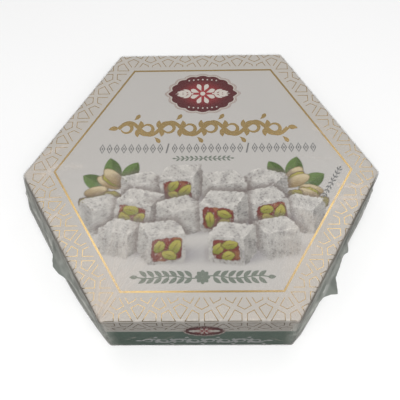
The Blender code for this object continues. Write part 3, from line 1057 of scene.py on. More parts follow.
@dataclass
class Film:
    """The shrunk film: a closed skin, taut on top and gathered along its seam.

    The skin is a profile carried round the outline, as the lid is.  Round the
    seam each ring stands out by the seam's own width times exp(-|z - seam| / run),
    so a gather grows out of the wall with a hollow flare.

    Attributes:
        haze, edge: for each side, how hazy its wall's film is, with a painted sheen of grazing light on it, and how
            strongly the
        top is tucked beside it, with painted highlight along the tucks.
    """

    carton: Carton
    haze: tuple[float, ...]
    edge: tuple[float, ...]
    along: int = 112
    around: int = 8
    fold_steps: int = 9
    run: float = 0.9 * MM
    slack: float = 0.10 * MM
    bulge: float = 0.25 * MM

    def seam(self, side: Array, share: Array) -> Array:
        """How far the seam stands out of the wall at a place on the outline.

        Args:
            side, share: the place, as side_and_share gives it.

        Returns:
            The width in metres: a plain spare strip, a bell at the knot, a bell of
            slack film and two ears on the right, and nothing along the front.
        """
        width = np.full(share.shape, SEAM_SPARE)
        turn = np.minimum(np.minimum(share, 1 - share) / SEAM_TURN, 1)
        width = np.where(side == Side.FRONT.value, SEAM_SPARE * (1 - turn), width)
        width += np.where(side == Side.LEFT.value, bell(share, *KNOT), 0)
        back = 1 - share
        loose = bell(back, *SAG)
        for start, tip, end, height in EARS:
            rise = np.clip((back - start) / (tip - start), 0, 1)
            fall = np.clip((end - back) / (end - tip), 0, 1) ** 2
            loose = loose + height * np.where(back <= tip, rise, fall)
        return width + np.where(side == Side.RIGHT.value, loose, 0)

    @staticmethod
    def by_side(table: tuple[float, ...], side: Array, share: Array) -> Array:
        """Spread one number for each side round the outline, blended at the corners."""
        numbers = np.array(table)
        own = numbers[side.astype(int)]
        step = np.where(share < 0.5, -1, 1)
        beyond = numbers[(side.astype(int) + step) % SIDES]
        near = 1 - smooth(np.minimum(share, 1 - share), 0, 0.07)
        return own + (beyond - own) * near / 2

    def profile(self) -> tuple[Array, Array]:
        """Shares of the outline and heights of the rings, from the top's middle down."""
        reach, top = self.carton.film_reach - self.slack, self.carton.film_top - self.slack
        flat = (reach - FILM_FOLD) * np.linspace(0, 1, 58) ** 0.85
        angle = np.linspace(0, np.pi / 2, self.fold_steps + 1)[1:]
        arc = reach - FILM_FOLD + FILM_FOLD * np.sin(angle)
        closing = 1 - (1 - np.linspace(0, 1, 24)) ** 1.8
        upper = top - FILM_FOLD - (top - FILM_FOLD - SEAM_HEIGHT) * closing
        lower = SEAM_HEIGHT - (SEAM_HEIGHT - FILM_FOOT) * np.linspace(0, 1, 20)[:-1] ** 1.6
        foot = np.linspace(0, np.pi / 2, 6)
        under = reach - FILM_FOOT - (reach - FILM_FOOT) * np.linspace(0, 1, 12)[1:]
        low = 0.05 * MM
        out = [flat, arc, np.full(23, reach), np.full(18, reach)]
        out += [reach - FILM_FOOT + FILM_FOOT * np.cos(foot), under]
        height = [np.full(58, top), top - FILM_FOLD + FILM_FOLD * np.cos(angle), upper[1:], lower[1:]]
        height += [FILM_FOOT - (FILM_FOOT - low) * np.sin(foot), np.full(11, low)]
        return np.concatenate(out), np.concatenate(height)

    def waves_on_top(self, x: Array, y: Array) -> Array:
        """Height of the top's slow waves and puckers, in metres, from x and y in mm."""
        calm = 0.010 * ripples(x, y, 16.0, 11)
        crumple = np.exp(-(((x + 72) / 13) ** 2) - ((y - 6) / 20) ** 2)
        left = 0.050 * ripples(x * 1.3, y, 5.0, 12) * crumple
        pulled = np.exp(-(((x - 70) / 16) ** 2) - ((y + 8) / 20) ** 2)
        right = 0.040 * ripples(x + 0.6 * y, 0.25 * (y - 0.6 * x), 4.5, 13) * pulled
        edge = smooth(np.hypot(x, y * 1.08), 60, 74)
        rim = 0.016 * ripples(x, y, 5.0, 14) * edge
        return (calm + left + right + rim) * MM

    def waves_on_wall(self, around: Array, height: Array, width: Array) -> Array:
        """How far the wall's pleats stand out, in metres.

        Args:
            around: distance round the outline, in mm.
            height: height in mm.
            width: the seam's width there, in mm.

        Returns:
            Slow waves, and pleats that fade away from the seam where it is gathered.
        """
        near = np.exp(-np.abs(height - SEAM_HEIGHT / MM) / 5)
        pleats = 0.035 * ripples(around, 0.35 * height, 2.6, 15) * near
        slow = 0.050 * ripples(around, 0.6 * height, 9.0, 16)
        gathered = 0.035 * np.clip(width - 0.6, 0, 3) * ripples(around, 0.2 * height, 3.5, 17) * near
        return (pleats + slow + gathered) * MM

    def build(self, material: bpy.types.Material) -> bpy.types.Object:
        """Make the skin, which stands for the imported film."""
        reach = self.carton.film_reach - self.slack
        outline = hexagon(reach, FILM_CORNER, self.along, self.around)
        out, height = self.profile()
        plan = outline[None] * (out / reach)[:, None, None]
        side, share = side_and_share(outline[:, 0], outline[:, 1])
        width = self.seam(side, share)
        gap = np.linalg.norm(np.diff(outline, axis=0, append=outline[:1]), axis=1)
        around = np.cumsum(gap)
        from_seam = np.abs(height - SEAM_HEIGHT)[:, None]
        run = self.run + 0.30 * width[None]
        flare = width[None] * np.exp(-from_seam / run)
        on_wall = smooth(out, reach - FILM_FOLD, reach)[:, None] * smooth(height, 0.5 * MM, 3 * MM)[:, None]
        pleats = self.waves_on_wall(around[None] / MM, height[:, None] / MM, width[None] / MM) * on_wall
        upright = np.clip(height / self.carton.film_top, 0, 1)[:, None]
        slack = self.bulge * np.sin(np.pi * upright) ** 0.6 * (side == Side.RIGHT.value)
        slack = slack * smooth(np.minimum(share, 1 - share), 0, 0.12)
        standing = (flare + pleats + slack) * smooth(out, reach - FILM_FOLD, reach)[:, None]
        plan = plan * (1 + standing / reach)[..., None]
        on_top = (height > self.carton.film_top - FILM_FOLD)[:, None] * (1 - on_wall)
        lifted = self.waves_on_top(plan[..., 0] / MM, plan[..., 1] / MM) * on_top
        rings = np.concatenate([plan, (height[:, None] + lifted)[..., None]], -1)
        rings[0] = rings[0].mean(0)
        mesh = Mesh.revolved(self.carton.leaned(rings))
        left = np.exp(-(((rings[..., 0] / MM + 74) / 12) ** 2) - (rings[..., 1] / MM / 20) ** 2)
        loose = np.clip(width[None] / MM - 0.7, 0, 1) * np.exp(-from_seam / (7 * MM)) * 0.85 * on_wall
        below = smooth(self.carton.film_top - height, 1.5 * MM, 4.5 * MM)[:, None]
        distance = np.linalg.norm(plan, axis=-1) / np.linalg.norm(outline, axis=-1)
        masks = {
            # Gathered film: its layers, made dark grey-green by painted shade and reflection.
            "gather": np.maximum(np.clip((flare / MM - 0.6) / 1.6, 0, 1) ** 0.6 * 0.97, loose),
            "crumple": np.clip(flare / MM / 2.0, 0, 1) + 0.10 * on_wall + left * 0.5,
            # Hazy film on the walls with a painted sheen of grazing light, below the fold.
            "haze": self.by_side(self.haze, side, share) * on_wall * below,
            "edge": self.by_side(self.edge, side, share) * smooth(distance, 0.84, 0.98) * (1 - on_wall),
        }
        for label, numbers in masks.items():
            full = np.broadcast_to(numbers, rings.shape[:2])
            mesh.values[label] = np.r_[full[1:-1].ravel(), full[0, 0], full[-1, 0]]
        skin = dress(mesh.built("shrink_film"), material)
        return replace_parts(skin, "film")


# ==== print ========================================================================


class Layer(Enum):
    """How far each layer of print stands off the board, in millimetres."""

    PICTURE = 0.012
    FIRST = 0.03
    SECOND = 0.04
    THIRD = 0.05
    FOURTH = 0.06


INK_THICKNESS = 0.008 * MM
STROKE_LIFT = 0.0008       # each stroke of a drawing lies this much above the last, in mm


@dataclass
class Press:
    """Lays flat artwork, drawn in millimetres, on the lid and makes it a thin solid."""

    carton: Carton

    @property
    def middle(self) -> Array:
        """The pack's middle, which tells outwards from inwards."""
        return np.array([0, 0, self.carton.top / 2])

    def top(self, flat: tuple[Array, Array], layer: Layer) -> Mesh:
        """Lay points x, y on the lid's top; a third number is a lift of their own."""
        points, quads = flat
        lift = points[:, 2] if points.shape[1] > 2 else 0.0
        height = np.full(len(points), self.carton.top) + (layer.value + lift) * MM
        return Mesh(np.column_stack([points[:, :2] * MM, height]), quads).facing_out(self.middle)

    def wall(self, side: Side, flat: tuple[Array, Array], layer: Layer) -> Mesh:
        """Lay points on a wall: the first number runs to the right, the second up."""
        points, quads = flat
        lift = points[:, 2] if points.shape[1] > 2 else 0.0
        out = self.carton.plan_distance(points[:, 1] * MM)
        laid = self.carton.wrap(side.value, points[:, 0] * MM, out, (layer.value + lift) * MM)
        return Mesh(laid, quads).facing_out(self.middle)

    def printed(
        self, name: str, parts: list[Mesh], material: bpy.types.Material, slot: str
    ) -> bpy.types.Object:
        """Join the parts into one piece, and thicken it towards the board."""
        piece = dress(Mesh.joined(parts).built(name, rounded=False), material)
        solid = piece.modifiers.new("ink", "SOLIDIFY")
        solid.thickness = INK_THICKNESS
        solid.offset = -1
        return piece


@dataclass
class Lattice:
    """Gold lattice of kites, which runs over the folds on to the walls.

    Kites stand in sixes round each centre of a triangular grid, and each kite is
    drawn as a narrow outline set in from its neighbours: the kite shrunk about
    the centre of the circle that fits in it.

    Attributes:
        press: lays the lattice on the lid.
        pitch: width of one cell of the grid, in mm.
        squash: the grid's height as a share of its true height.
        origin: one centre of the grid.
        inset: how far the drawn line lies inside the kite's own edge.
        line: width of the drawn line.
        inner: the lattice starts this far from the frame's middle.
        middle: the frame's middle.
        drop: how far below the top the lattice ends on the walls.
    """

    press: Press
    pitch: float = 18.0
    squash: float = 0.962
    origin: tuple[float, float] = (0.95, 1.15)
    inset: float = 1.15
    line: float = 0.32
    inner: float = 63.4
    middle: tuple[float, float] = (1.04, 1.14)
    drop: float = 11.6
    rows: int = 9

    def kites(self, inset: float) -> Array:
        """Corners of every kite, shrunk by an inset: an array of (kites, 4, 2)."""
        number = np.arange(-self.rows, self.rows + 1)
        i, j = (grid.ravel() for grid in np.meshgrid(number * 1.0, number * 1.0))
        i, j = i[(i + j) % 2 == 0], j[(i + j) % 2 == 0]
        centres = np.stack([i * self.pitch / 2, j * self.pitch * math.sqrt(3) / 2], -1)
        turn = np.arange(SIDES) * SECTOR
        unit = np.stack([np.cos(turn), np.sin(turn)], -1)
        half = self.pitch / 2 * unit
        tip_turn = turn + HALF_SECTOR
        tip = self.pitch / math.sqrt(3) * np.stack([np.cos(tip_turn), np.sin(tip_turn)], -1)
        corners = np.stack([np.zeros_like(half), half, tip, np.roll(half, -1, axis=0)], 1)
        radius = self.pitch * 0.18301
        inmost = tip / np.linalg.norm(tip, axis=-1, keepdims=True) * radius * 2
        corners = inmost[:, None] + (corners - inmost[:, None]) * (1 - inset / radius)
        kites = (centres[:, None, None] + corners[None]).reshape(-1, 4, 2)
        return kites * (1, self.squash) + np.array(self.origin)

    def clipped(self, start: Array, end: Array, side: int) -> tuple[Array, Array]:
        """Shares of each line that lie inside one side's part of the plan.

        Each bound is a straight edge; a line is cut where its distance to that
        edge changes sign.

        Args:
            start, end: the lines, in mm on the plan.
            side: number of the side.

        Returns:
            The first and last share of each line; the last is smaller where the
            line lies outside.
        """
        carton = self.press.carton
        turn = (side + 0.5) * SECTOR
        normal = np.array([math.cos(turn), math.sin(turn)])
        tangent = np.array([-normal[1], normal[0]])
        slope = math.tan(HALF_SECTOR)
        edge = carton.side / MM / 2 - 1.3
        last = carton.plan_distance(np.array(carton.top - self.drop * MM)) / MM
        bounds = [
            (normal, self.inner + normal @ np.array(self.middle)),
            (-normal, -last),
            (normal * slope - tangent, 0.0),
            (normal * slope + tangent, 0.0),
            (-tangent, -edge),
            (tangent, -edge),
        ]
        low, high = np.zeros(len(start)), np.ones(len(start))
        for direction, offset in bounds:
            first = start @ direction - offset
            second = end @ direction - offset
            crossing = first / np.where(first == second, 1, first - second)
            low = np.where((first < 0) & (second >= 0), np.maximum(low, crossing), low)
            high = np.where((first >= 0) & (second < 0), np.minimum(high, crossing), high)
            high = np.where((first < 0) & (second < 0), -1, high)
        return low, high

    def over_side(self, side: int, rails: tuple[Array, Array]) -> Mesh:
        """The lattice's lines over one side, cut again wherever they meet the fold.

        Args:
            side: number of the side.
            rails: outer and inner edges of the drawn lines, (kites, 4, 2) each.

        Returns:
            Quads between the rails, laid over the lid.
        """
        ends = [np.stack([rail, np.roll(rail, -1, axis=1)], 2).reshape(-1, 2, 2) for rail in rails]
        start, end = ((ends[0] + ends[1]) / 2).transpose(1, 0, 2)
        low, high = self.clipped(start, end, side)
        kept = high - low > 1e-4
        start, end, low, high = start[kept], end[kept], low[kept], high[kept]
        carton = self.press.carton
        turn = (side + 0.5) * SECTOR
        normal = np.array([math.cos(turn), math.sin(turn)])
        tangent = np.array([-normal[1], normal[0]])
        fold = carton.reach - LID_FOLD + LID_FOLD * np.linspace(0, np.pi / 2, 7)
        at = ((fold / MM)[None] - (start @ normal)[:, None]) / ((end - start) @ normal)[:, None]
        cuts = np.concatenate([low[:, None], np.clip(at, low[:, None], high[:, None]), high[:, None]], 1)
        cuts = np.sort(cuts, 1)
        points = []
        for rail in ends:
            first, last = rail[kept].transpose(1, 0, 2)
            points.append(first[:, None] + (last - first)[:, None] * cuts[..., None])
        flat = np.stack(points, 2)
        quads = strip_faces(*flat.shape[:2]).reshape(len(flat), -1, 4)
        long = np.diff(cuts, axis=1) > 1e-4
        laid = carton.wrap(side, flat @ tangent * MM, flat @ normal * MM, Layer.FIRST.value * MM)
        mesh = Mesh(laid.reshape(-1, 3), quads[long])
        return mesh.facing_out(self.press.middle)

    def build(self, material: bpy.types.Material) -> bpy.types.Object:
        """Make the lattice as one piece."""
        outer = self.kites(self.inset - self.line / 2)
        inner = self.kites(self.inset + self.line / 2)
        parts = [self.over_side(side, (outer, inner)) for side in range(SIDES)]
        return self.press.printed("foil_lattice", parts, material, "gold_foil")


@dataclass
class Frame:
    """The gold line round the picture: a hexagon a little off the lid's middle."""

    press: Press
    middle: tuple[float, float] = (1.04, 1.14)
    reach: float = 60.7
    line: float = 0.98

    def build(self, material: bpy.types.Material) -> bpy.types.Object:
        """Make the line between two hexagons."""
        turn = np.arange(SIDES) * SECTOR
        unit = np.stack([np.cos(turn), np.sin(turn)], -1)[None] / math.cos(HALF_SECTOR)
        edges = [(self.reach + step * self.line / 2) * unit for step in (-1, 1)]
        flat = fields(np.array([self.middle]), *edges, 1)
        return self.press.printed("foil_frame", [self.press.top(flat, Layer.FIRST)], material, "gold_foil")


class Shape(Enum):
    """How the width of a stroke changes from its root to its tip."""

    LEAF = "leaf"
    TENDRIL = "tendril"
    EVEN = "even"
    TEAR = "tear"

    def widths(self, share: Array) -> Array:
        """Width at each share of the stroke, as a share of the full width."""
        if self is Shape.LEAF:
            return np.sin(np.pi * share**0.85) ** 0.9
        if self is Shape.TENDRIL:
            return (1 - share) ** 0.6 * 0.85 + 0.15
        if self is Shape.TEAR:
            return np.sin(np.pi * share**1.7) ** 0.8
        return np.ones_like(share)


@dataclass
class Brush:
    """Collects strokes and dots of one drawing, in mm.

    Attributes:
        steps: points along each stroke.
    """

    steps: int = 15
    count: int = 0
    drawn: list[tuple[Array, Array]] = field(default_factory=list)

    def curl(
        self,
        roots: Array,
        headings: Array,
        length: Array | float,
        width: float,
        turn: Array | float = 0.0,
        shape: Shape = Shape.LEAF,
    ) -> None:
        """Draw strokes that turn at an even rate.

        The heading at share t is heading + turn t, and the path adds up steps of
        that heading from the root.

        Args:
            roots: where the strokes start, (strokes, 2).
            headings: their first headings, in radians.
            length, width: of each stroke.
            turn: how far each stroke turns, in radians.
            shape: how its width changes.
        """
        share = np.linspace(0, 1, self.steps)
        headings, length, turn = np.broadcast_arrays(headings, length, turn)
        angle = headings[:, None] + turn[:, None] * (share[1:] + share[:-1]) / 2
        step = np.stack([np.cos(angle), np.sin(angle)], -1) * (length / (self.steps - 1))[:, None, None]
        path = np.concatenate([np.zeros((len(step), 1, 2)), np.cumsum(step, 1)], 1)
        widths = np.broadcast_to(width * shape.widths(share), path.shape[:2])
        self.add(strokes(np.asarray(roots, float)[:, None] + path, widths), len(path))

    def add(self, flat: tuple[Array, Array], count: int) -> None:
        """Keep some strokes, each a little above the one before it."""
        points, quads = flat
        level = (self.count + np.repeat(np.arange(count), len(points) // count)) * STROKE_LIFT
        self.drawn.append((np.column_stack([points, level]), quads))
        self.count += count

    def line(self, path: Array, width: float, shape: Shape = Shape.EVEN) -> None:
        """Draw one stroke along a given path of (points, 2)."""
        widths = width * shape.widths(np.linspace(0, 1, len(path)))
        self.add(strokes(path[None], widths[None]), 1)

    def dots(self, middles: Array, radius: float, stretch: float = 1.0) -> None:
        """Draw round dots, or ovals that are stretched upwards."""
        turn = np.linspace(0, 2 * np.pi, 13)[:-1]
        edge = radius * np.stack([np.cos(turn), stretch * np.sin(turn)], -1)[None]
        self.add(fields(np.asarray(middles, float), edge * 0.02, edge, 1), len(middles))

    def loops(self, middles: Array, outline: Array, line: float) -> None:
        """Draw a closed outline round each middle, as wide as line."""
        size = np.linalg.norm(outline, axis=-1, keepdims=True)
        inner = outline * (1 - line / size)
        self.add(fields(np.asarray(middles, float), inner[None], outline[None], 1), len(middles))

    def turned(self, angle: float, middle: tuple[float, float]) -> list[tuple[Array, Array]]:
        """All that is drawn, turned about zero and then moved to a new middle."""
        cosine, sine = math.cos(angle), math.sin(angle)
        spin = np.array([[cosine, sine, 0], [-sine, cosine, 0], [0, 0, 1]])
        return [(points @ spin + np.array([*middle, 0]), quads) for points, quads in self.drawn]


@dataclass
class Scroll:
    """A running vine with coiled tendrils and leaves.

    Attributes:
        length, height: the room that it takes, in mm.
        cells: how many half waves the stem makes.
        stem: width of the stem.
        leaf: length and width of a leaf.
        coil: length and turn of a tendril.
    """

    length: float
    height: float
    cells: int
    stem: float
    leaf: tuple[float, float]
    coil: tuple[float, float]

    def drawn(self) -> Brush:
        """Draw the vine round zero.

        The stem is a sine wave; at each crest a tendril leaves along the stem and
        coils into the hollow below it, and leaves stand in pairs where the stem
        crosses its middle line.
        """
        brush = Brush()
        half = self.length / 2
        swing = self.height * 0.27
        pitch = self.length / self.cells
        x = np.linspace(-half, half, self.cells * 10 + 1)
        stem = np.stack([x, swing * np.sin(np.pi * (x + half) / pitch)], -1)
        brush.line(stem, self.stem)
        crest = -half + pitch * (np.arange(self.cells) + 0.5)
        sign = np.where(np.arange(self.cells) % 2 == 0, 1.0, -1.0)
        roots = np.stack([crest - pitch * 0.30, swing * sign * 0.6], -1)
        brush.curl(roots, sign * 0.75, self.coil[0], self.stem * 1.15, -sign * self.coil[1], Shape.TENDRIL)
        crossing = np.stack([-half + pitch * np.arange(1, self.cells), np.zeros(self.cells - 1)], -1)
        ahead = np.where(np.arange(1, self.cells) % 2 == 0, 1.0, -1.0)
        length, width = self.leaf
        for tilt, share in ((1.25, 1.0), (2.15, 0.85), (-1.05, 0.8)):
            brush.curl(crossing, ahead * tilt, length * share, width, -ahead * 0.9, Shape.LEAF)
        tips = np.stack([crest + pitch * 0.20, swing * sign * 1.35], -1)
        brush.curl(tips, sign * 0.5, length * 0.75, width * 0.8, sign * 0.8, Shape.TEAR)
        ends = np.array([[half, 0.0], [-half, 0.0]])
        brush.curl(ends, np.array([0.3, np.pi - 0.3]), length * 0.8, width, np.array([-0.8, 0.8]))
        return brush


@dataclass
class Garland:
    """A straight sprig: leaves in pairs along a thin stem, with a flower in its middle."""

    length: float
    height: float
    pairs: int
    leaf_width: float
    stem: float
    flower: float = 0.0

    def drawn(self) -> Brush:
        """Draw the sprig round zero; the leaves point away from the middle."""
        brush = Brush(steps=11)
        half = self.length / 2
        x = np.linspace(-half, half, self.pairs * 6)
        brush.line(np.stack([x, 0.08 * self.height * np.sin(x * 2 * np.pi * 3 / self.length)], -1), self.stem)
        start = self.flower * 1.25 + 0.4
        place = np.linspace(start, half - 0.08 * self.length, self.pairs // 2)
        roots = np.concatenate([place, -place])
        away = np.sign(roots)
        base = np.where(away > 0, 0.0, np.pi)
        long = self.height * 0.62
        for up in (1, -1):
            at = np.stack([roots, np.zeros_like(roots)], -1)
            brush.curl(at, base + up * away * 0.95, long, self.leaf_width, -up * away * 0.5)
        ends = np.array([[half * 0.97, 0.0], [-half * 0.97, 0.0]])
        brush.curl(ends, np.array([0.0, np.pi]), long * 0.8, self.leaf_width, 0.0)
        if self.flower:
            turn = np.arange(8) * np.pi / 4
            brush.curl(np.zeros((8, 2)), turn, self.flower, self.flower * 0.55, 0.0, Shape.TEAR)
        return brush


@dataclass
class LozengeRow:
    """A row of narrow upright lozenges with a dot in each, parted by slanted bars."""

    length: float
    height: float
    count: int
    line: float
    bars: tuple[int, ...]

    def drawn(self) -> Brush:
        """Draw the row round zero."""
        brush = Brush()
        pitch = self.length / self.count
        place = (np.arange(self.count) + 0.5) * pitch - self.length / 2
        is_bar = np.isin(np.arange(self.count), self.bars)
        plain = np.stack([place[~is_bar], np.zeros((~is_bar).sum())], -1)
        tall = self.height / 2
        edge = np.array([[pitch * 0.42, 0], [0, tall], [-pitch * 0.42, 0], [0, -tall]])
        brush.loops(plain, edge, self.line)
        brush.dots(plain, pitch * 0.11, 1.8)
        slant = np.stack([place[is_bar] - tall * 0.2, np.full(is_bar.sum(), -tall)], -1)
        brush.curl(slant, np.full(len(slant), 1.37), self.height * 1.02, self.line * 1.2, 0.0, Shape.EVEN)
        return brush


@dataclass
class Medallion:
    """A lobed medallion: shaded rim, pale ring, dark red field and a pale flower.

    Attributes:
        press: lays it on the lid.
        middle: its middle on the face it is laid on.
        size: width and height in mm.
        lobes: number of lobes round its edge.
        rim, ring, field, glow, flower: the tints.
    """

    press: Press
    middle: tuple[float, float]
    size: tuple[float, float]
    lobes: int
    rim: Colour
    ring: Colour
    field: Colour
    glow: Colour
    flower: Colour

    def outline(self, share: float, steps: int = 144) -> Array:
        """The lobed edge: an oval whose distance grows by 0.055 |cos(lobes a / 2)|."""
        turn = np.linspace(0, 2 * np.pi, steps + 1)[:-1]
        swell = 0.93 + 0.075 * np.abs(np.cos(self.lobes * turn / 2)) ** 0.8
        tips = 0.05 * np.exp(-((np.sin(turn) / 0.10) ** 2))
        oval = np.stack([np.cos(turn) * self.size[0] / 2, np.sin(turn) * self.size[1] / 2], -1)
        return (share * oval * (swell + tips)[:, None])[None]

    def tinted(self, mesh: Mesh, tint: Array) -> Mesh:
        """Give each point of a part its colour."""
        full = np.broadcast_to(tint, (len(mesh.points), 3))
        mesh.values["tint"] = np.column_stack([full, np.ones(len(full))])
        return mesh

    def disc(self, inner: float, outer: float, rings: int = 1) -> tuple[Array, Array]:
        """A band of the medallion between two shares of its size."""
        return fields(np.array([self.middle]), self.outline(inner), self.outline(outer), rings)

    def motif(self) -> list[tuple[Array, Array]]:
        """The flower: eight petals, a sprig to each side and two rows of dots."""
        wide, tall = self.size
        brush = Brush(steps=11)
        turn = np.arange(8) * np.pi / 4 + np.pi / 8
        unit = np.stack([np.cos(turn), np.sin(turn)], -1)
        brush.curl(unit * tall * 0.07, turn, tall * 0.19, tall * 0.095, 0.0, Shape.TEAR)
        brush.dots(np.zeros((1, 2)), tall * 0.05)
        for side in (1, -1):
            stem = np.array([[side * wide * 0.13, 0.0]])
            away = np.array([0.0 if side > 0 else np.pi])
            brush.curl(stem, away, wide * 0.25, tall * 0.035, 0.0, Shape.TENDRIL)
            root = np.array([[side * wide * share, 0.0] for share in (0.16, 0.22, 0.28)])
            for up in (1, -1):
                heading = away + side * up * np.array([1.0, 0.9, 0.8])
                size = tall * np.array([0.20, 0.16, 0.12])
                brush.curl(root, heading, size, tall * 0.060, -side * up * 0.9)
        across = np.linspace(-0.19, 0.19, 7) * wide
        for up in (1, -1):
            arc = up * tall * (0.355 - 0.35 * (across / wide) ** 2 * 2)
            brush.dots(np.stack([across, arc], -1), tall * 0.016)
        return brush.turned(0.0, self.middle)

    def build(self, name: str, wall: Side | None, inks: "Inks") -> list[bpy.types.Object]:
        """Make the field and the flower.

        Args:
            name: start of the pieces' names.
            wall: the wall that carries it, or None for the lid's top.
            inks: the materials.

        Returns:
            The two pieces.
        """

        def laid(flat: tuple[Array, Array], layer: Layer) -> Mesh:
            """Lay one part on the top or on the wall."""
            return self.press.top(flat, layer) if wall is None else self.press.wall(wall, flat, layer)

        rim, ring = np.array(self.rim), np.array(self.ring)
        parts = [self.tinted(laid(self.disc(0.84, 1.0, 3), Layer.FIRST), rim)]
        parts.append(self.tinted(laid(self.disc(0.91, 0.945), Layer.SECOND), ring))
        parts.append(self.tinted(laid(self.disc(0.965, 0.98), Layer.SECOND), ring))
        core = laid(self.disc(0.01, 0.90, 10), Layer.THIRD)
        share = np.repeat(np.linspace(0, 1, 11), 144)[:, None]
        glow = np.array(self.glow) + (np.array(self.field) - np.array(self.glow)) * smooth(share, 0.1, 0.85)
        parts.append(self.tinted(core, glow))
        body = self.press.printed(f"{name}_field", parts, inks.tinted, "picture_print")
        flower = [self.tinted(laid(flat, Layer.FOURTH), np.array(self.flower)) for flat in self.motif()]
        return [body, self.press.printed(f"{name}_flower", flower, inks.tinted, "picture_print")]


@dataclass(frozen=True)
class Inks:
    """The printing materials that several pieces share."""

    foil: bpy.types.Material
    green: bpy.types.Material
    grey: bpy.types.Material
    silver: bpy.types.Material
    tinted: bpy.types.Material


# ==== the picture ==================================================================


@dataclass
class Canvas:
    """A grid of points on the lid's top, with the colour that is printed at each.

    Attributes:
        left, right, low, high: its edges in mm.
        pitch: distance between points in mm.
    """

    left: float
    right: float
    low: float
    high: float
    pitch: float

    def __post_init__(self) -> None:
        """Lay out the grid; nothing is printed on it yet."""
        across = np.arange(self.left, self.right, self.pitch)
        up = np.arange(self.low, self.high, self.pitch)
        self.x, self.y = np.meshgrid(across, up)
        self.colour = np.zeros((*self.x.shape, 3))
        self.cover = np.zeros(self.x.shape)
        self.sugar = np.zeros(self.x.shape)
        self.rough = 0.25 * ripples(self.x, self.y, 3.2, 31) + 0.16 * ripples(self.x, self.y, 1.3, 32)
        self.cloud = ripples(self.x, self.y, 5.0, 33)
        self.fleck = ripples(self.x, self.y, 1.6, 34)

    def lay(self, share: Array, colour: Array | Colour, sugar: float = 0.0) -> None:
        """Print a colour over what is there, to a share at each point."""
        wide = share[..., None]
        total = self.cover + share * (1 - self.cover)
        below = (self.cover * (1 - share))[..., None]
        blended = (self.colour * below + np.asarray(colour) * wide) / np.maximum(total, 1e-6)[..., None]
        self.colour = np.where(total[..., None] > 1e-6, blended, self.colour)
        self.sugar = self.sugar * (1 - share) + sugar * share
        self.cover = total

    def edge(self, depth: Array) -> Array:
        """Turn a depth inside a shape, in mm, into a share of cover with a soft edge."""
        return smooth(depth, -0.5 * self.pitch, 0.9 * self.pitch)

    def polygon(self, corners: Array, rounding: float, uneven: float) -> Array:
        """Depth inside a convex polygon with rounded corners and an uneven edge.

        The depth is the smooth least of the distances to its sides:
        -k log(sum exp(-d / k)), with k the rounding.

        Args:
            corners: (n, 2), anticlockwise, in mm.
            rounding: k, in mm.
            uneven: how strongly the canvas's roughness moves the edge.
        """
        nexts = np.roll(corners, -1, axis=0)
        along = nexts - corners
        normal = np.stack([-along[:, 1], along[:, 0]], -1)
        normal /= np.linalg.norm(normal, axis=-1, keepdims=True)
        offset = np.einsum("ij,ij->i", normal, corners)
        depth = self.x[..., None] * normal[:, 0] + self.y[..., None] * normal[:, 1] - offset
        soft = -rounding * np.log(np.exp(-np.clip(depth, -30, 30) / rounding).sum(-1))
        return soft + uneven * self.rough

    def oval(self, middle: Array, size: tuple[float, float], turn: float, uneven: float = 0.4) -> Array:
        """Depth inside an oval, about (1 - distance) times its smaller half."""
        dx, dy = self.x - middle[0], self.y - middle[1]
        a = (dx * math.cos(turn) + dy * math.sin(turn)) / size[0]
        b = (dy * math.cos(turn) - dx * math.sin(turn)) / size[1]
        return (1 - np.hypot(a, b)) * min(size) + uneven * self.rough

    def mesh(self, top: float) -> Mesh:
        """The printed part of the grid as a mesh on the lid's top."""
        rows, columns = self.x.shape
        height = np.full(self.x.size, top)
        points = np.column_stack([self.x.ravel() * MM, self.y.ravel() * MM, height])
        start = np.arange(rows - 1)[:, None] * columns + np.arange(columns - 1)
        quads = np.stack([start, start + 1, start + columns + 1, start + columns], -1).reshape(-1, 4)
        quads = quads[self.cover.ravel()[quads].max(1) > 0.004]
        used, quads = np.unique(quads, return_inverse=True)
        tint = np.column_stack([self.colour.reshape(-1, 3), np.ones(self.x.size)])
        values = {"tint": tint[used], "cover": self.cover.ravel()[used], "sugar": self.sugar.ravel()[used]}
        return Mesh(points[used], quads.reshape(-1, 4), values=values)


@dataclass(frozen=True)
class Cube:
    """One sugared cube of the picture, drawn as three faces of a turned box.

    Attributes:
        x, y: the middle of its foot on the lid, in mm.
        size: length of its edges.
        yaw: how far it is turned, in radians.
        roll: how far it leans in the picture, in radians.
        cut: whether its front face is cut and shows the jelly.
    """

    x: float
    y: float
    size: float
    yaw: float
    roll: float
    cut: bool

    def face(self, corners: tuple[tuple[int, int, int], ...]) -> Array:
        """Corners of one face on the picture, anticlockwise.

        Args:
            corners: for each corner of the box, 1 or -1 to the side and to the
                back, and 1 for the top or 0 for the foot; seen from 25 degrees above.
        """
        i, j, k = np.array(corners).T
        side = self.size / 2 * (i * math.cos(self.yaw) - j * math.sin(self.yaw))
        back = self.size / 2 * (i * math.sin(self.yaw) + j * math.cos(self.yaw))
        spot = side + 1j * (back * 0.42 + (k - 0.5) * self.size * 0.80)
        spot = spot * np.exp(1j * self.roll) + self.x + 1j * (self.y + self.size * 0.40)
        flat = np.stack([spot.real, spot.imag], -1)
        after = np.roll(spot, -1)
        return flat if (spot.conj() * after).imag.sum() > 0 else flat[::-1]


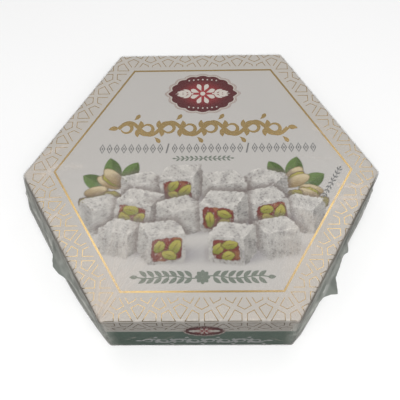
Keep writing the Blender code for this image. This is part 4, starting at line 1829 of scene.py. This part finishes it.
@dataclass
class Picture:
    """A heap of sugared cubes between two sprays of leaves and nuts.

    Every colour of the grid is worked out by laying soft-edged shapes one over
    another, from the back of the heap to its front.
    """

    press: Press
    tints: dict[str, Colour]
    cubes: tuple[Cube, ...]
    clip: tuple[tuple[float, float], float] = ((1.04, 1.14), 60.5)

    def __post_init__(self) -> None:
        """Turn the tints into arrays, and lay out the empty canvas."""
        self.tint = {name: np.array(value) for name, value in self.tints.items()}
        self.canvas = Canvas(-61.0, 63.0, -50.0, 14.0, 0.33)

    def dusted(self, level: float, seed: int) -> Array:
        """Sugar over jelly: bright drifts, thin spots and small dark flecks.

        Args:
            level: how light the face is.
            seed: picks the drifts and flecks.
        """
        canvas = self.canvas
        drift = ripples(canvas.x, canvas.y, 5.0, seed) + 0.6 * ripples(canvas.x, canvas.y, 1.8, seed + 1)
        fleck = ripples(canvas.x, canvas.y * 1.4, 1.5, seed + 2) + 0.7 * ripples(canvas.x, canvas.y, 0.9, seed + 3)
        colour = self.tint["sugar"] * (level + 0.030 * drift)[..., None]
        light = smooth(drift + 0.4 * fleck, 0.4, 2.0)[..., None] * 0.55
        thin = smooth(-drift + 0.5 * fleck, 0.9, 2.4)[..., None] * 0.55
        dark = smooth(fleck - 0.25 * drift, 1.0, 1.9)[..., None] * 0.45
        colour = colour + (self.tint["bright"] * level - colour) * light
        colour = colour + (self.tint["thin"] * level - colour) * thin
        return colour + (self.tint["fleck"] * level - colour) * dark

    def draw_cube(self, cube: Cube, seed: int) -> None:
        """Draw one cube: its shadow, then its side, front and top."""
        canvas = self.canvas
        near = 1 if cube.yaw < 0 else -1
        side = cube.face(((near, -1, 0), (near, 1, 0), (near, 1, 1), (near, -1, 1)))
        front = cube.face(((-1, -1, 0), (1, -1, 0), (1, -1, 1), (-1, -1, 1)))
        top = cube.face(((-1, -1, 1), (1, -1, 1), (1, 1, 1), (-1, 1, 1)))
        faces = [canvas.polygon(corners, 0.5, 0.55) for corners in (side, front, top)]
        whole = np.maximum(np.maximum(*faces[:2]), faces[2])
        canvas.lay(smooth(whole, -3.4, -0.2) * 0.60 * canvas.cover, self.tint["gap"])
        foot = np.array([cube.x + 0.32 * cube.size, cube.y + 0.6])
        spread = canvas.oval(foot, (cube.size * 0.85, cube.size * 0.34), 0.0, 0.0)
        canvas.lay(smooth(spread, 0.0, 4.5) * 0.60, self.tint["shadow"])
        levels = (0.66, 0.86, 1.0) if near > 0 else (0.78, 0.84, 1.0)
        for number, (depth, level) in enumerate(zip(faces, levels)):
            tone = self.dusted(level, seed + 5 * number)
            rim = np.exp(-np.clip(depth, 0, 9) / 0.7)[..., None]
            falling = smooth(canvas.y, cube.y - cube.size * 0.4, cube.y + cube.size * 0.6)[..., None]
            shade = 1.0 if number == 2 else 0.80 + 0.20 * falling
            canvas.lay(canvas.edge(depth + 0.15), tone * shade * (1 + 0.14 * rim), 0.45)
        if cube.cut:
            self.draw_cut(cube, front, seed)

    def draw_cut(self, cube: Cube, front: Array, seed: int) -> None:
        """Draw the jelly on a cut front face, and two or three chunks of nut in it."""
        canvas, random = self.canvas, np.random.default_rng(seed)
        depth = canvas.polygon(front, 0.8, 0.5) - cube.size * random.uniform(0.07, 0.11)
        inside = canvas.edge(depth)
        mix = smooth(ripples(canvas.x, canvas.y, 6.0, seed + 20), 0.0, 1.6)[..., None]
        low = smooth(canvas.y, cube.y, cube.y + cube.size * 0.8)[..., None]
        jelly = (self.tint["jelly"] + (self.tint["amber"] - self.tint["jelly"]) * mix) * (0.72 + 0.36 * low)
        rim = np.exp(-np.clip(depth, 0, 9) / 0.6)[..., None]
        canvas.lay(inside, jelly * (1 - 0.30 * rim), 0.25)
        shine = smooth(canvas.fleck + 0.4 * canvas.cloud, 1.4, 2.2) * inside * 0.45
        canvas.lay(shine, self.tint["bright"] * 0.8)
        first = random.uniform(0, 2 * np.pi)
        for number in range(3):
            way = first + number * 2.1 + random.uniform(-0.3, 0.3)
            spot = front.mean(0) + cube.size * 0.22 * np.array([math.cos(way), 0.8 * math.sin(way)])
            size = cube.size * random.uniform(0.17, 0.25), cube.size * random.uniform(0.11, 0.15)
            self.draw_kernel(spot, size, way + random.uniform(0.6, 2.2), inside)

    def draw_kernel(self, spot: Array, size: tuple[float, float], turn: float, inside: Array | float) -> None:
        """Draw a nut's kernel: a dark skin, a green-gold flesh lit from above, and its slit."""
        canvas = self.canvas
        depth = canvas.oval(spot, size, turn, 0.35)
        canvas.lay(canvas.edge(depth + 0.30) * inside, self.tint["skin"])
        lit = smooth(canvas.y - spot[1] + 0.5 * canvas.rough, -size[1], size[1])[..., None]
        flesh = self.tint["flesh_low"] + (self.tint["flesh"] - self.tint["flesh_low"]) * lit
        canvas.lay(canvas.edge(depth) * inside, flesh, 0.25)
        slit = canvas.oval(spot, (size[0] * 0.62, 0.30), turn, 0.10)
        canvas.lay(canvas.edge(slit) * inside * 0.7, self.tint["skin"])

    def draw_leaf(self, root: Array, length: float, turn: float) -> None:
        """Draw a leaf with a paler vein: the overlap of two discs set apart."""
        canvas = self.canvas
        heading = np.array([math.cos(turn), math.sin(turn)])
        aside = np.array([-heading[1], heading[0]])
        middle = root + heading * length / 2
        radius = length * 0.60
        shift = math.sqrt(radius**2 - (length / 2) ** 2)
        discs = [middle + aside * shift * sign for sign in (1, -1)]
        depth = np.minimum(*(radius - np.hypot(canvas.x - x, canvas.y - y) for x, y in discs))
        across = (canvas.x - middle[0]) * aside[0] + (canvas.y - middle[1]) * aside[1]
        lit = 1.0 + 0.20 * np.tanh(across / 0.6) + 0.05 * canvas.fleck
        canvas.lay(canvas.edge(depth), self.tint["leaf"] * lit[..., None])
        canvas.lay(canvas.edge(0.16 - np.abs(across)) * canvas.edge(depth) * 0.5, self.tint["vein"])

    def draw_nut(self, spot: Array, size: float, turn: float) -> None:
        """Draw a nut in its open shell: the far half, the kernel, then the near half."""
        canvas = self.canvas
        heading = np.array([-math.sin(turn), math.cos(turn)])
        below = canvas.oval(spot - (0, size * 0.45), (size * 1.1, size * 0.5), 0.0, 0)
        canvas.lay(smooth(below, -1, 2) * 0.5, self.tint["shadow"])
        for number, (shift, tilt) in enumerate(((0.30, 0.16), (-0.26, -0.14))):
            middle = spot + heading * size * shift
            depth = canvas.oval(middle, (size, size * 0.46), turn + tilt, 0.10)
            canvas.lay(canvas.edge(depth + 0.2), self.tint["shell_low"] * 0.7)
            lit = smooth(canvas.y - middle[1] + 0.3 * canvas.cloud, -size * 0.5, size * 0.5)[..., None]
            shell = self.tint["shell_low"] + (self.tint["shell"] - self.tint["shell_low"]) * lit
            canvas.lay(canvas.edge(depth), shell, 0.2)
            if number == 0:
                self.draw_kernel(spot + heading * size * 0.06, (size * 0.80, size * 0.34), turn, 1.0)

    def spray(self, mirror: int) -> None:
        """Draw one spray beside the heap: leaves behind, then nuts; mirror is 1 or -1."""
        heading = {1: lambda angle: angle, -1: lambda angle: math.pi - angle}[mirror]
        middle = np.array([1.5, 0.0])
        for x, y, length, angle in ((41, -7, 16, 1.35), (44, -9, 15, 0.55), (38, -6, 14, 2.1)):
            self.draw_leaf(middle + (mirror * x, y), length, heading(angle))
        for x, y, size, angle in ((43.0, -3.5, 6.2, 0.6), (49.5, -11.0, 5.4, -0.4)):
            self.draw_nut(middle + (mirror * x, y), size, heading(angle))
        for x, y, angle in ((42.0, -12.5, 0.3), (54.0, -17.0, 0.9)):
            self.draw_kernel(middle + (mirror * x, y), (4.3, 2.7), heading(angle), 1.0)

    def build(self, material: bpy.types.Material) -> bpy.types.Object:
        """Draw the picture, cut it off at the frame, and make it one thin printed piece."""
        canvas = self.canvas
        ground = canvas.oval(np.array([2.5, -42.0]), (46.0, 7.0), 0.0, 0.0)
        canvas.lay(smooth(ground, 0, 6) * 0.40, self.tint["shadow"])
        for mirror in (-1, 1):
            self.spray(mirror)
        for number, cube in enumerate(self.cubes):
            self.draw_cube(cube, 100 + 40 * number)
        (x, y), reach = self.clip
        turn = (np.arange(SIDES) + 0.5) * SECTOR
        across = (canvas.x - x)[..., None] * np.cos(turn) + (canvas.y - y)[..., None] * np.sin(turn)
        canvas.cover = canvas.cover * canvas.edge(reach - across.max(-1))
        mesh = canvas.mesh(self.press.carton.top + Layer.PICTURE.value * MM)
        return self.press.printed("sweets_picture", [mesh], material, "picture_print")


# ==== ornaments ====================================================================


@dataclass
class Ornaments:
    """The line ornaments of the lid's top and walls."""

    press: Press
    inks: Inks

    def on_top(
        self, name: str, brush: Brush, middle: tuple[float, float], ink: bpy.types.Material, angle: float = 0.0
    ) -> bpy.types.Object:
        """Lay one drawing on the lid's top."""
        parts = [self.press.top(flat, Layer.SECOND) for flat in brush.turned(angle, middle)]
        slot = "gold_foil" if ink is self.inks.foil else "green_print"
        return self.press.printed(name, parts, ink, slot)

    def build(self) -> list[bpy.types.Object]:
        """Make every ornament."""
        title = Scroll(83.0, 14.0, 8, 2.0, (6.2, 2.7), (14.0, 5.2)).drawn()
        row = LozengeRow(105.0, 5.6, 30, 0.60, (9, 20)).drawn()
        small = Garland(27.0, 3.6, 12, 0.85, 0.35).drawn()
        lower = Garland(58.0, 7.4, 14, 1.9, 0.55, 3.4).drawn()
        corner = Garland(17.0, 3.4, 8, 0.8, 0.3).drawn()
        pieces = [
            self.on_top("title_scroll", title, (1.3, 25.5), self.inks.foil),
            self.on_top("lozenge_row", row, (3.5, 13.8), self.inks.grey),
            self.on_top("small_sprig", small, (1.5, 8.0), self.inks.green),
            self.on_top("lower_garland", lower, (1.3, -52.9), self.inks.green),
            self.on_top("corner_sprig", corner, (61.5, -5.5), self.inks.grey, math.radians(60)),
        ]
        band = Scroll(56.0, 9.5, 8, 1.05, (4.2, 1.9), (9.0, 5.0)).drawn()
        for side in (Side.FRONT, Side.BACK):
            parts = [self.press.wall(side, flat, Layer.THIRD) for flat in band.turned(0.0, (1.5, 7.2))]
            name = f"band_scroll_{side.name.lower()}"
            pieces.append(self.press.printed(name, parts, self.inks.silver, "green_print"))
        return pieces


# ==== studio =======================================================================


@dataclass(frozen=True)
class Panel:
    """One soft light panel: its place, aim, size and power, and whether gloss mirrors it."""

    name: str
    place: tuple[float, float, float]
    target: tuple[float, float, float]
    size: tuple[float, float]
    power: float
    mirrored: bool = True


@dataclass
class Studio:
    """The plain floor, the soft lights and the camera."""

    floor_colour: Colour = (0.99, 0.99, 0.99)
    bounce: Colour = (0.43, 0.43, 0.43)
    mirrored: Colour = (0.10, 0.10, 0.10)
    floor_reach: float = 4.0
    room: tuple[float, float] = (0.18, 0.36)
    lens: float = 59.07
    place: tuple[float, float, float] = (0.006494, -0.161958, 0.298240)
    right: tuple[float, float, float] = (0.99974, 0.00359, -0.02252)
    up: tuple[float, float, float] = (0.00784, 0.87332, 0.48708)
    panels: tuple[Panel, ...] = (
        Panel("key_light", (0.05, -0.55, 1.05), (0, 0, 0), (0.70, 0.50), 11.0, False),
        Panel("left_panel", (-0.14, 0.17, 0.56), (-0.05, -0.02, 0.03), (0.17, 0.22), 0.15),
        Panel("right_panel", (0.17, 0.23, 0.56), (0.05, 0.0, 0.03), (0.14, 0.18), 0.12),
    )

    def floor(self) -> bpy.types.Object:
        """A wide flat disc, just under the pack."""
        turn = np.linspace(0, 2 * np.pi, 65)[:-1]
        edge = self.floor_reach * np.stack([np.cos(turn), np.sin(turn)], -1)[None]
        points, quads = fields(np.zeros((1, 2)), edge * 0.001, edge, 12)
        mesh = Mesh(np.column_stack([points, np.full(len(points), -0.02 * MM)]), quads)
        floor = mesh.facing_out(np.array([0, 0, -1.0])).built("floor")
        material, net, out = new_material("floor_paint")
        seen = net.add("ShaderNodeBsdfDiffuse", {"Color": self.floor_colour}).outputs[0]
        path = net.add("ShaderNodeLightPath").outputs
        tone = net.blend(path["Is Glossy Ray"], self.bounce, self.mirrored)
        felt = net.add("ShaderNodeBsdfDiffuse", {"Color": tone}).outputs[0]
        paint = net.add("ShaderNodeMixShader", {0: path["Is Camera Ray"], 1: felt, 2: seen})
        net.put(out.inputs["Surface"], paint.outputs[0])
        floor.data.materials.append(material)
        return floor

    def surroundings(self) -> None:
        """Even light from all round; the backdrop shows white to the camera."""
        world = bpy.data.worlds.new("studio")
        bpy.context.scene.world = world
        world.use_nodes = True
        net = Net(world.node_tree)
        seen = net.add("ShaderNodeLightPath").outputs["Is Camera Ray"]
        way = net.add("ShaderNodeTexCoord").outputs["Generated"]
        height = net.add("ShaderNodeSeparateXYZ", {0: way}).outputs["Z"]
        low, high = self.room
        light = net.math("ADD", net.math("MULTIPLY", net.ramp(height, 0.0, 0.8), high - low), low)
        level = net.math("MAXIMUM", seen, light)
        back = net.add("ShaderNodeBackground", {"Color": (1.0, 1.0, 1.0), "Strength": level})
        net.put(net.add("ShaderNodeOutputWorld").inputs["Surface"], back.outputs[0])

    def lights(self) -> None:
        """Hang the panels."""
        for panel in self.panels:
            light = bpy.data.lights.new(panel.name, "AREA")
            light.shape = "RECTANGLE"
            light.size, light.size_y = panel.size
            light.energy = panel.power
            obj = bpy.data.objects.new(panel.name, light)
            obj.location = panel.place
            obj.visible_glossy = panel.mirrored
            way = Vector(panel.target) - Vector(panel.place)
            obj.rotation_euler = way.to_track_quat("-Z", "Y").to_euler()
            bpy.context.scene.collection.objects.link(obj)

    def camera(self) -> None:
        """Set up the camera from its place and its right and up directions."""
        right, up = Vector(self.right).normalized(), Vector(self.up)
        back = right.cross(up).normalized()
        up = back.cross(right)
        camera = bpy.data.cameras.new("camera")
        camera.lens = self.lens
        camera.sensor_width = 36.0
        camera.clip_start = 0.01
        obj = bpy.data.objects.new("camera", camera)
        turned = Matrix((right, up, back)).transposed().to_4x4()
        obj.matrix_world = Matrix.Translation(Vector(self.place)) @ turned
        bpy.context.scene.collection.objects.link(obj)
        bpy.context.scene.camera = obj

    def build(self) -> None:
        """Set everything up."""
        self.floor()
        self.surroundings()
        self.lights()
        self.camera()
        bpy.context.scene.view_settings.view_transform = "Standard"


# ==== the whole pack ===============================================================

BOARD_COLOUR = srgb(185, 181, 177)
BORDER_COLOUR = srgb(184, 178, 171)
# For each side, how hazy its wall's film is, with a painted sheen of grazing light: strong on the left and right
# walls, faint on the front.
WALL_HAZE_AND_SHEEN = (0.30, 0.02, 0.32, 0.60, 0.02, 0.55)
# For each side, how strongly the top's film is tucked beside it, raised and with painted highlight along the tucks.
EDGE_TUCKS = (0.15, 0.10, 0.30, 0.60, 0.60, 0.50)
# Fans raise the film and add painted highlight; the crease streaks after them add painted highlight only, on the top
# and, where their last number is 1, on the walls.
FOLDS = (
    Fan(-44.0, -75.0, 68.0, 30.0, 19.0, 44.0, 1.5),
    Fan(-44.0, -75.0, 72.0, 11.0, 24.0, 24.0, 0.9, 4.0),
    Fan(43.0, -75.0, 112.0, 24.0, 11.0, 40.0, 1.1),
    Fan(70.0, 20.0, 248.0, 95.0, 24.0, 13.0, 0.7, 45.0),
    Fan(49.0, 30.0, 268.0, 120.0, 12.0, 9.0, 0.7, 66.0),
    Fan(-84.5, 0.0, 10.0, 16.0, 12.0, 50.0, 0.5),
    CreaseSheen(-70.1, 13.3, 28.0, 9.0, 0.9, 1.0, -14.0),
    CreaseSheen(-71.7, 1.2, 49.0, 6.5, 1.8, 0.9, 12.0),
    CreaseSheen(-62.1, 3.5, 5.0, 9.0, 1.7, 0.35),
    CreaseSheen(-69.4, -13.7, 8.0, 5.5, 0.6, 0.8),
    CreaseSheen(-66.7, -23.0, 44.0, 3.5, 0.8, 0.8),
    CreaseSheen(-61.6, -33.2, 36.0, 3.8, 0.6, 0.8),
    CreaseSheen(-52.1, -47.8, 60.0, 3.0, 0.5, 0.7),
    CreaseSheen(58.4, 22.3, -35.0, 7.0, 0.5, 0.6),
    CreaseSheen(60.1, 25.2, -32.0, 6.0, 0.4, 0.6),
    CreaseSheen(55.2, 7.7, -10.0, 9.0, 0.8, 0.3),
    CreaseSheen(69.1, -8.2, -6.0, 7.5, 1.1, 1.1, 10.0),
    CreaseSheen(67.0, -14.9, -2.0, 8.5, 1.7, 1.1, -10.0),
    CreaseSheen(64.2, -18.5, 14.0, 6.5, 1.1, 0.7),
    CreaseSheen(-31.0, 12.0, 38.0, 4.0, 0.4, 0.9, 0.0, 1.0),
    CreaseSheen(-24.0, 11.0, 42.0, 5.0, 0.4, 0.9, 0.0, 1.0),
    CreaseSheen(-14.0, 13.0, 40.0, 4.0, 0.4, 0.7, 0.0, 1.0),
    CreaseSheen(34.0, 10.0, -40.0, 4.0, 0.5, 0.7, 0.0, 1.0),
)
VENTS = ((-0.030, 0.022), (0.030, 0.022))


TINTS = {
    "sugar": srgb(184, 180, 175),
    "bright": srgb(200, 196, 190),
    "thin": srgb(150, 146, 144),
    "fleck": srgb(118, 110, 108),
    "gap": srgb(104, 92, 88),
    "shadow": srgb(136, 133, 137),
    "jelly": srgb(127, 64, 57),
    "amber": srgb(154, 104, 76),
    "flesh": srgb(164, 156, 80),
    "flesh_low": srgb(122, 124, 54),
    "skin": srgb(92, 70, 50),
    "shell": srgb(192, 176, 144),
    "shell_low": srgb(138, 118, 86),
    "leaf": srgb(88, 108, 62),
    "vein": srgb(136, 146, 100),
}
CUBES = (
    Cube(-26.5, -15.5, 15.5, 0.40, 0.05, False),
    Cube(30.0, -15.0, 16.0, -0.45, -0.04, False),
    Cube(-8.5, -12.5, 16.5, -0.30, 0.16, True),
    Cube(11.5, -15.5, 16.0, 0.35, -0.03, False),
    Cube(-45.0, -28.0, 15.5, 0.45, 0.02, False),
    Cube(47.0, -28.5, 15.5, -0.40, -0.02, False),
    Cube(-28.0, -26.5, 17.0, -0.35, -0.08, True),
    Cube(30.0, -26.0, 17.0, 0.30, 0.10, True),
    Cube(-9.0, -29.5, 16.0, 0.50, 0.03, False),
    Cube(11.0, -28.0, 17.5, -0.32, 0.05, True),
    Cube(-35.5, -40.0, 15.0, -0.50, 0.00, False),
    Cube(34.5, -40.5, 16.0, 0.38, 0.02, False),
    Cube(-17.0, -43.0, 17.0, 0.30, -0.03, True),
    Cube(14.5, -43.5, 16.5, -0.36, 0.02, True),
)


def main() -> None:
    """Build the finishes, the pack from the inside out, and the studio."""
    logging.basicConfig(level=logging.INFO, format="%(message)s")
    effects = Effects()
    carton = Carton.measured()
    press = Press(carton)
    tray = BoardFinish("tray_finish", srgb(176, 170, 158), srgb(196, 191, 180), None, 0.75, 500.0, 0.16)
    cover = BoardFinish("lid_finish", BOARD_COLOUR, srgb(200, 193, 184), BORDER_COLOUR)
    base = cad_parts["base"]
    base.data.materials[0] = tray.made(effects)
    inks = Inks(
        FoilFinish("gold_foil", srgb(224, 192, 133), srgb(154, 128, 100)).made(effects),
        InkFinish("green_ink", srgb(114, 121, 111)).made(effects),
        InkFinish("grey_ink", srgb(118, 117, 116)).made(effects),
        InkFinish("silver_ink", srgb(170, 172, 171)).made(effects),
        InkFinish("tinted_ink", srgb(128, 128, 128), tinted=True).made(effects),
    )
    pieces = [Lid(carton).build(cover.made(effects))]
    pieces.append(GreenBand(carton).build(InkFinish("band_ink", srgb(90, 109, 98)).made(effects)))
    pieces.append(Lattice(press).build(inks.foil))
    pieces.append(Frame(press).build(inks.foil))
    tints = {
        "rim": srgb(148, 128, 122),
        "ring": srgb(190, 184, 176),
        "field": srgb(88, 46, 48),
        "glow": srgb(150, 58, 62),
        "flower": srgb(196, 188, 180),
    }
    pieces += Medallion(press, (1.2, 46.8), (36.5, 25.5), 16, **tints).build("medallion", None, inks)
    for side in (Side.FRONT, Side.BACK):
        small = Medallion(press, (1.8, 21.0), (19.0, 14.5), 16, **tints)
        pieces += small.build(f"medallion_{side.name.lower()}", side, inks)
    finish = PictureFinish("picture_ink", BOARD_COLOUR, 0.05)
    pieces.append(Picture(press, TINTS, CUBES).build(finish.made(effects)))
    pieces += Ornaments(press, inks).build()
    clear = FilmFinish(
        "film_finish",
        clear=(0.992, 0.994, 0.992),
        # Colour of the painted highlight along creases.
        pale=srgb(226, 213, 200),
        # Colour of the walls' hazy film with its painted sheen.
        veil_sheen=srgb(222, 222, 214),
        # Gathered film, darkened by painted shade and reflection.
        milky_shade=srgb(122, 127, 121),
        roughness=0.22,
        index=1.5,
        faces=1.0,
        # Strength of the painted crease highlight.
        crease_sheen=0.42,
        folds=FOLDS,
        vents=VENTS,
        vent_radius=0.0015,
    )
    pieces.append(Film(carton, WALL_HAZE_AND_SHEEN, EDGE_TUCKS).build(clear.made(effects)))
    Studio().build()
    for piece in pieces:
        LOG.info("%s: %d faces", piece.name, len(piece.data.polygons))


if __name__ == "__main__":
    main()
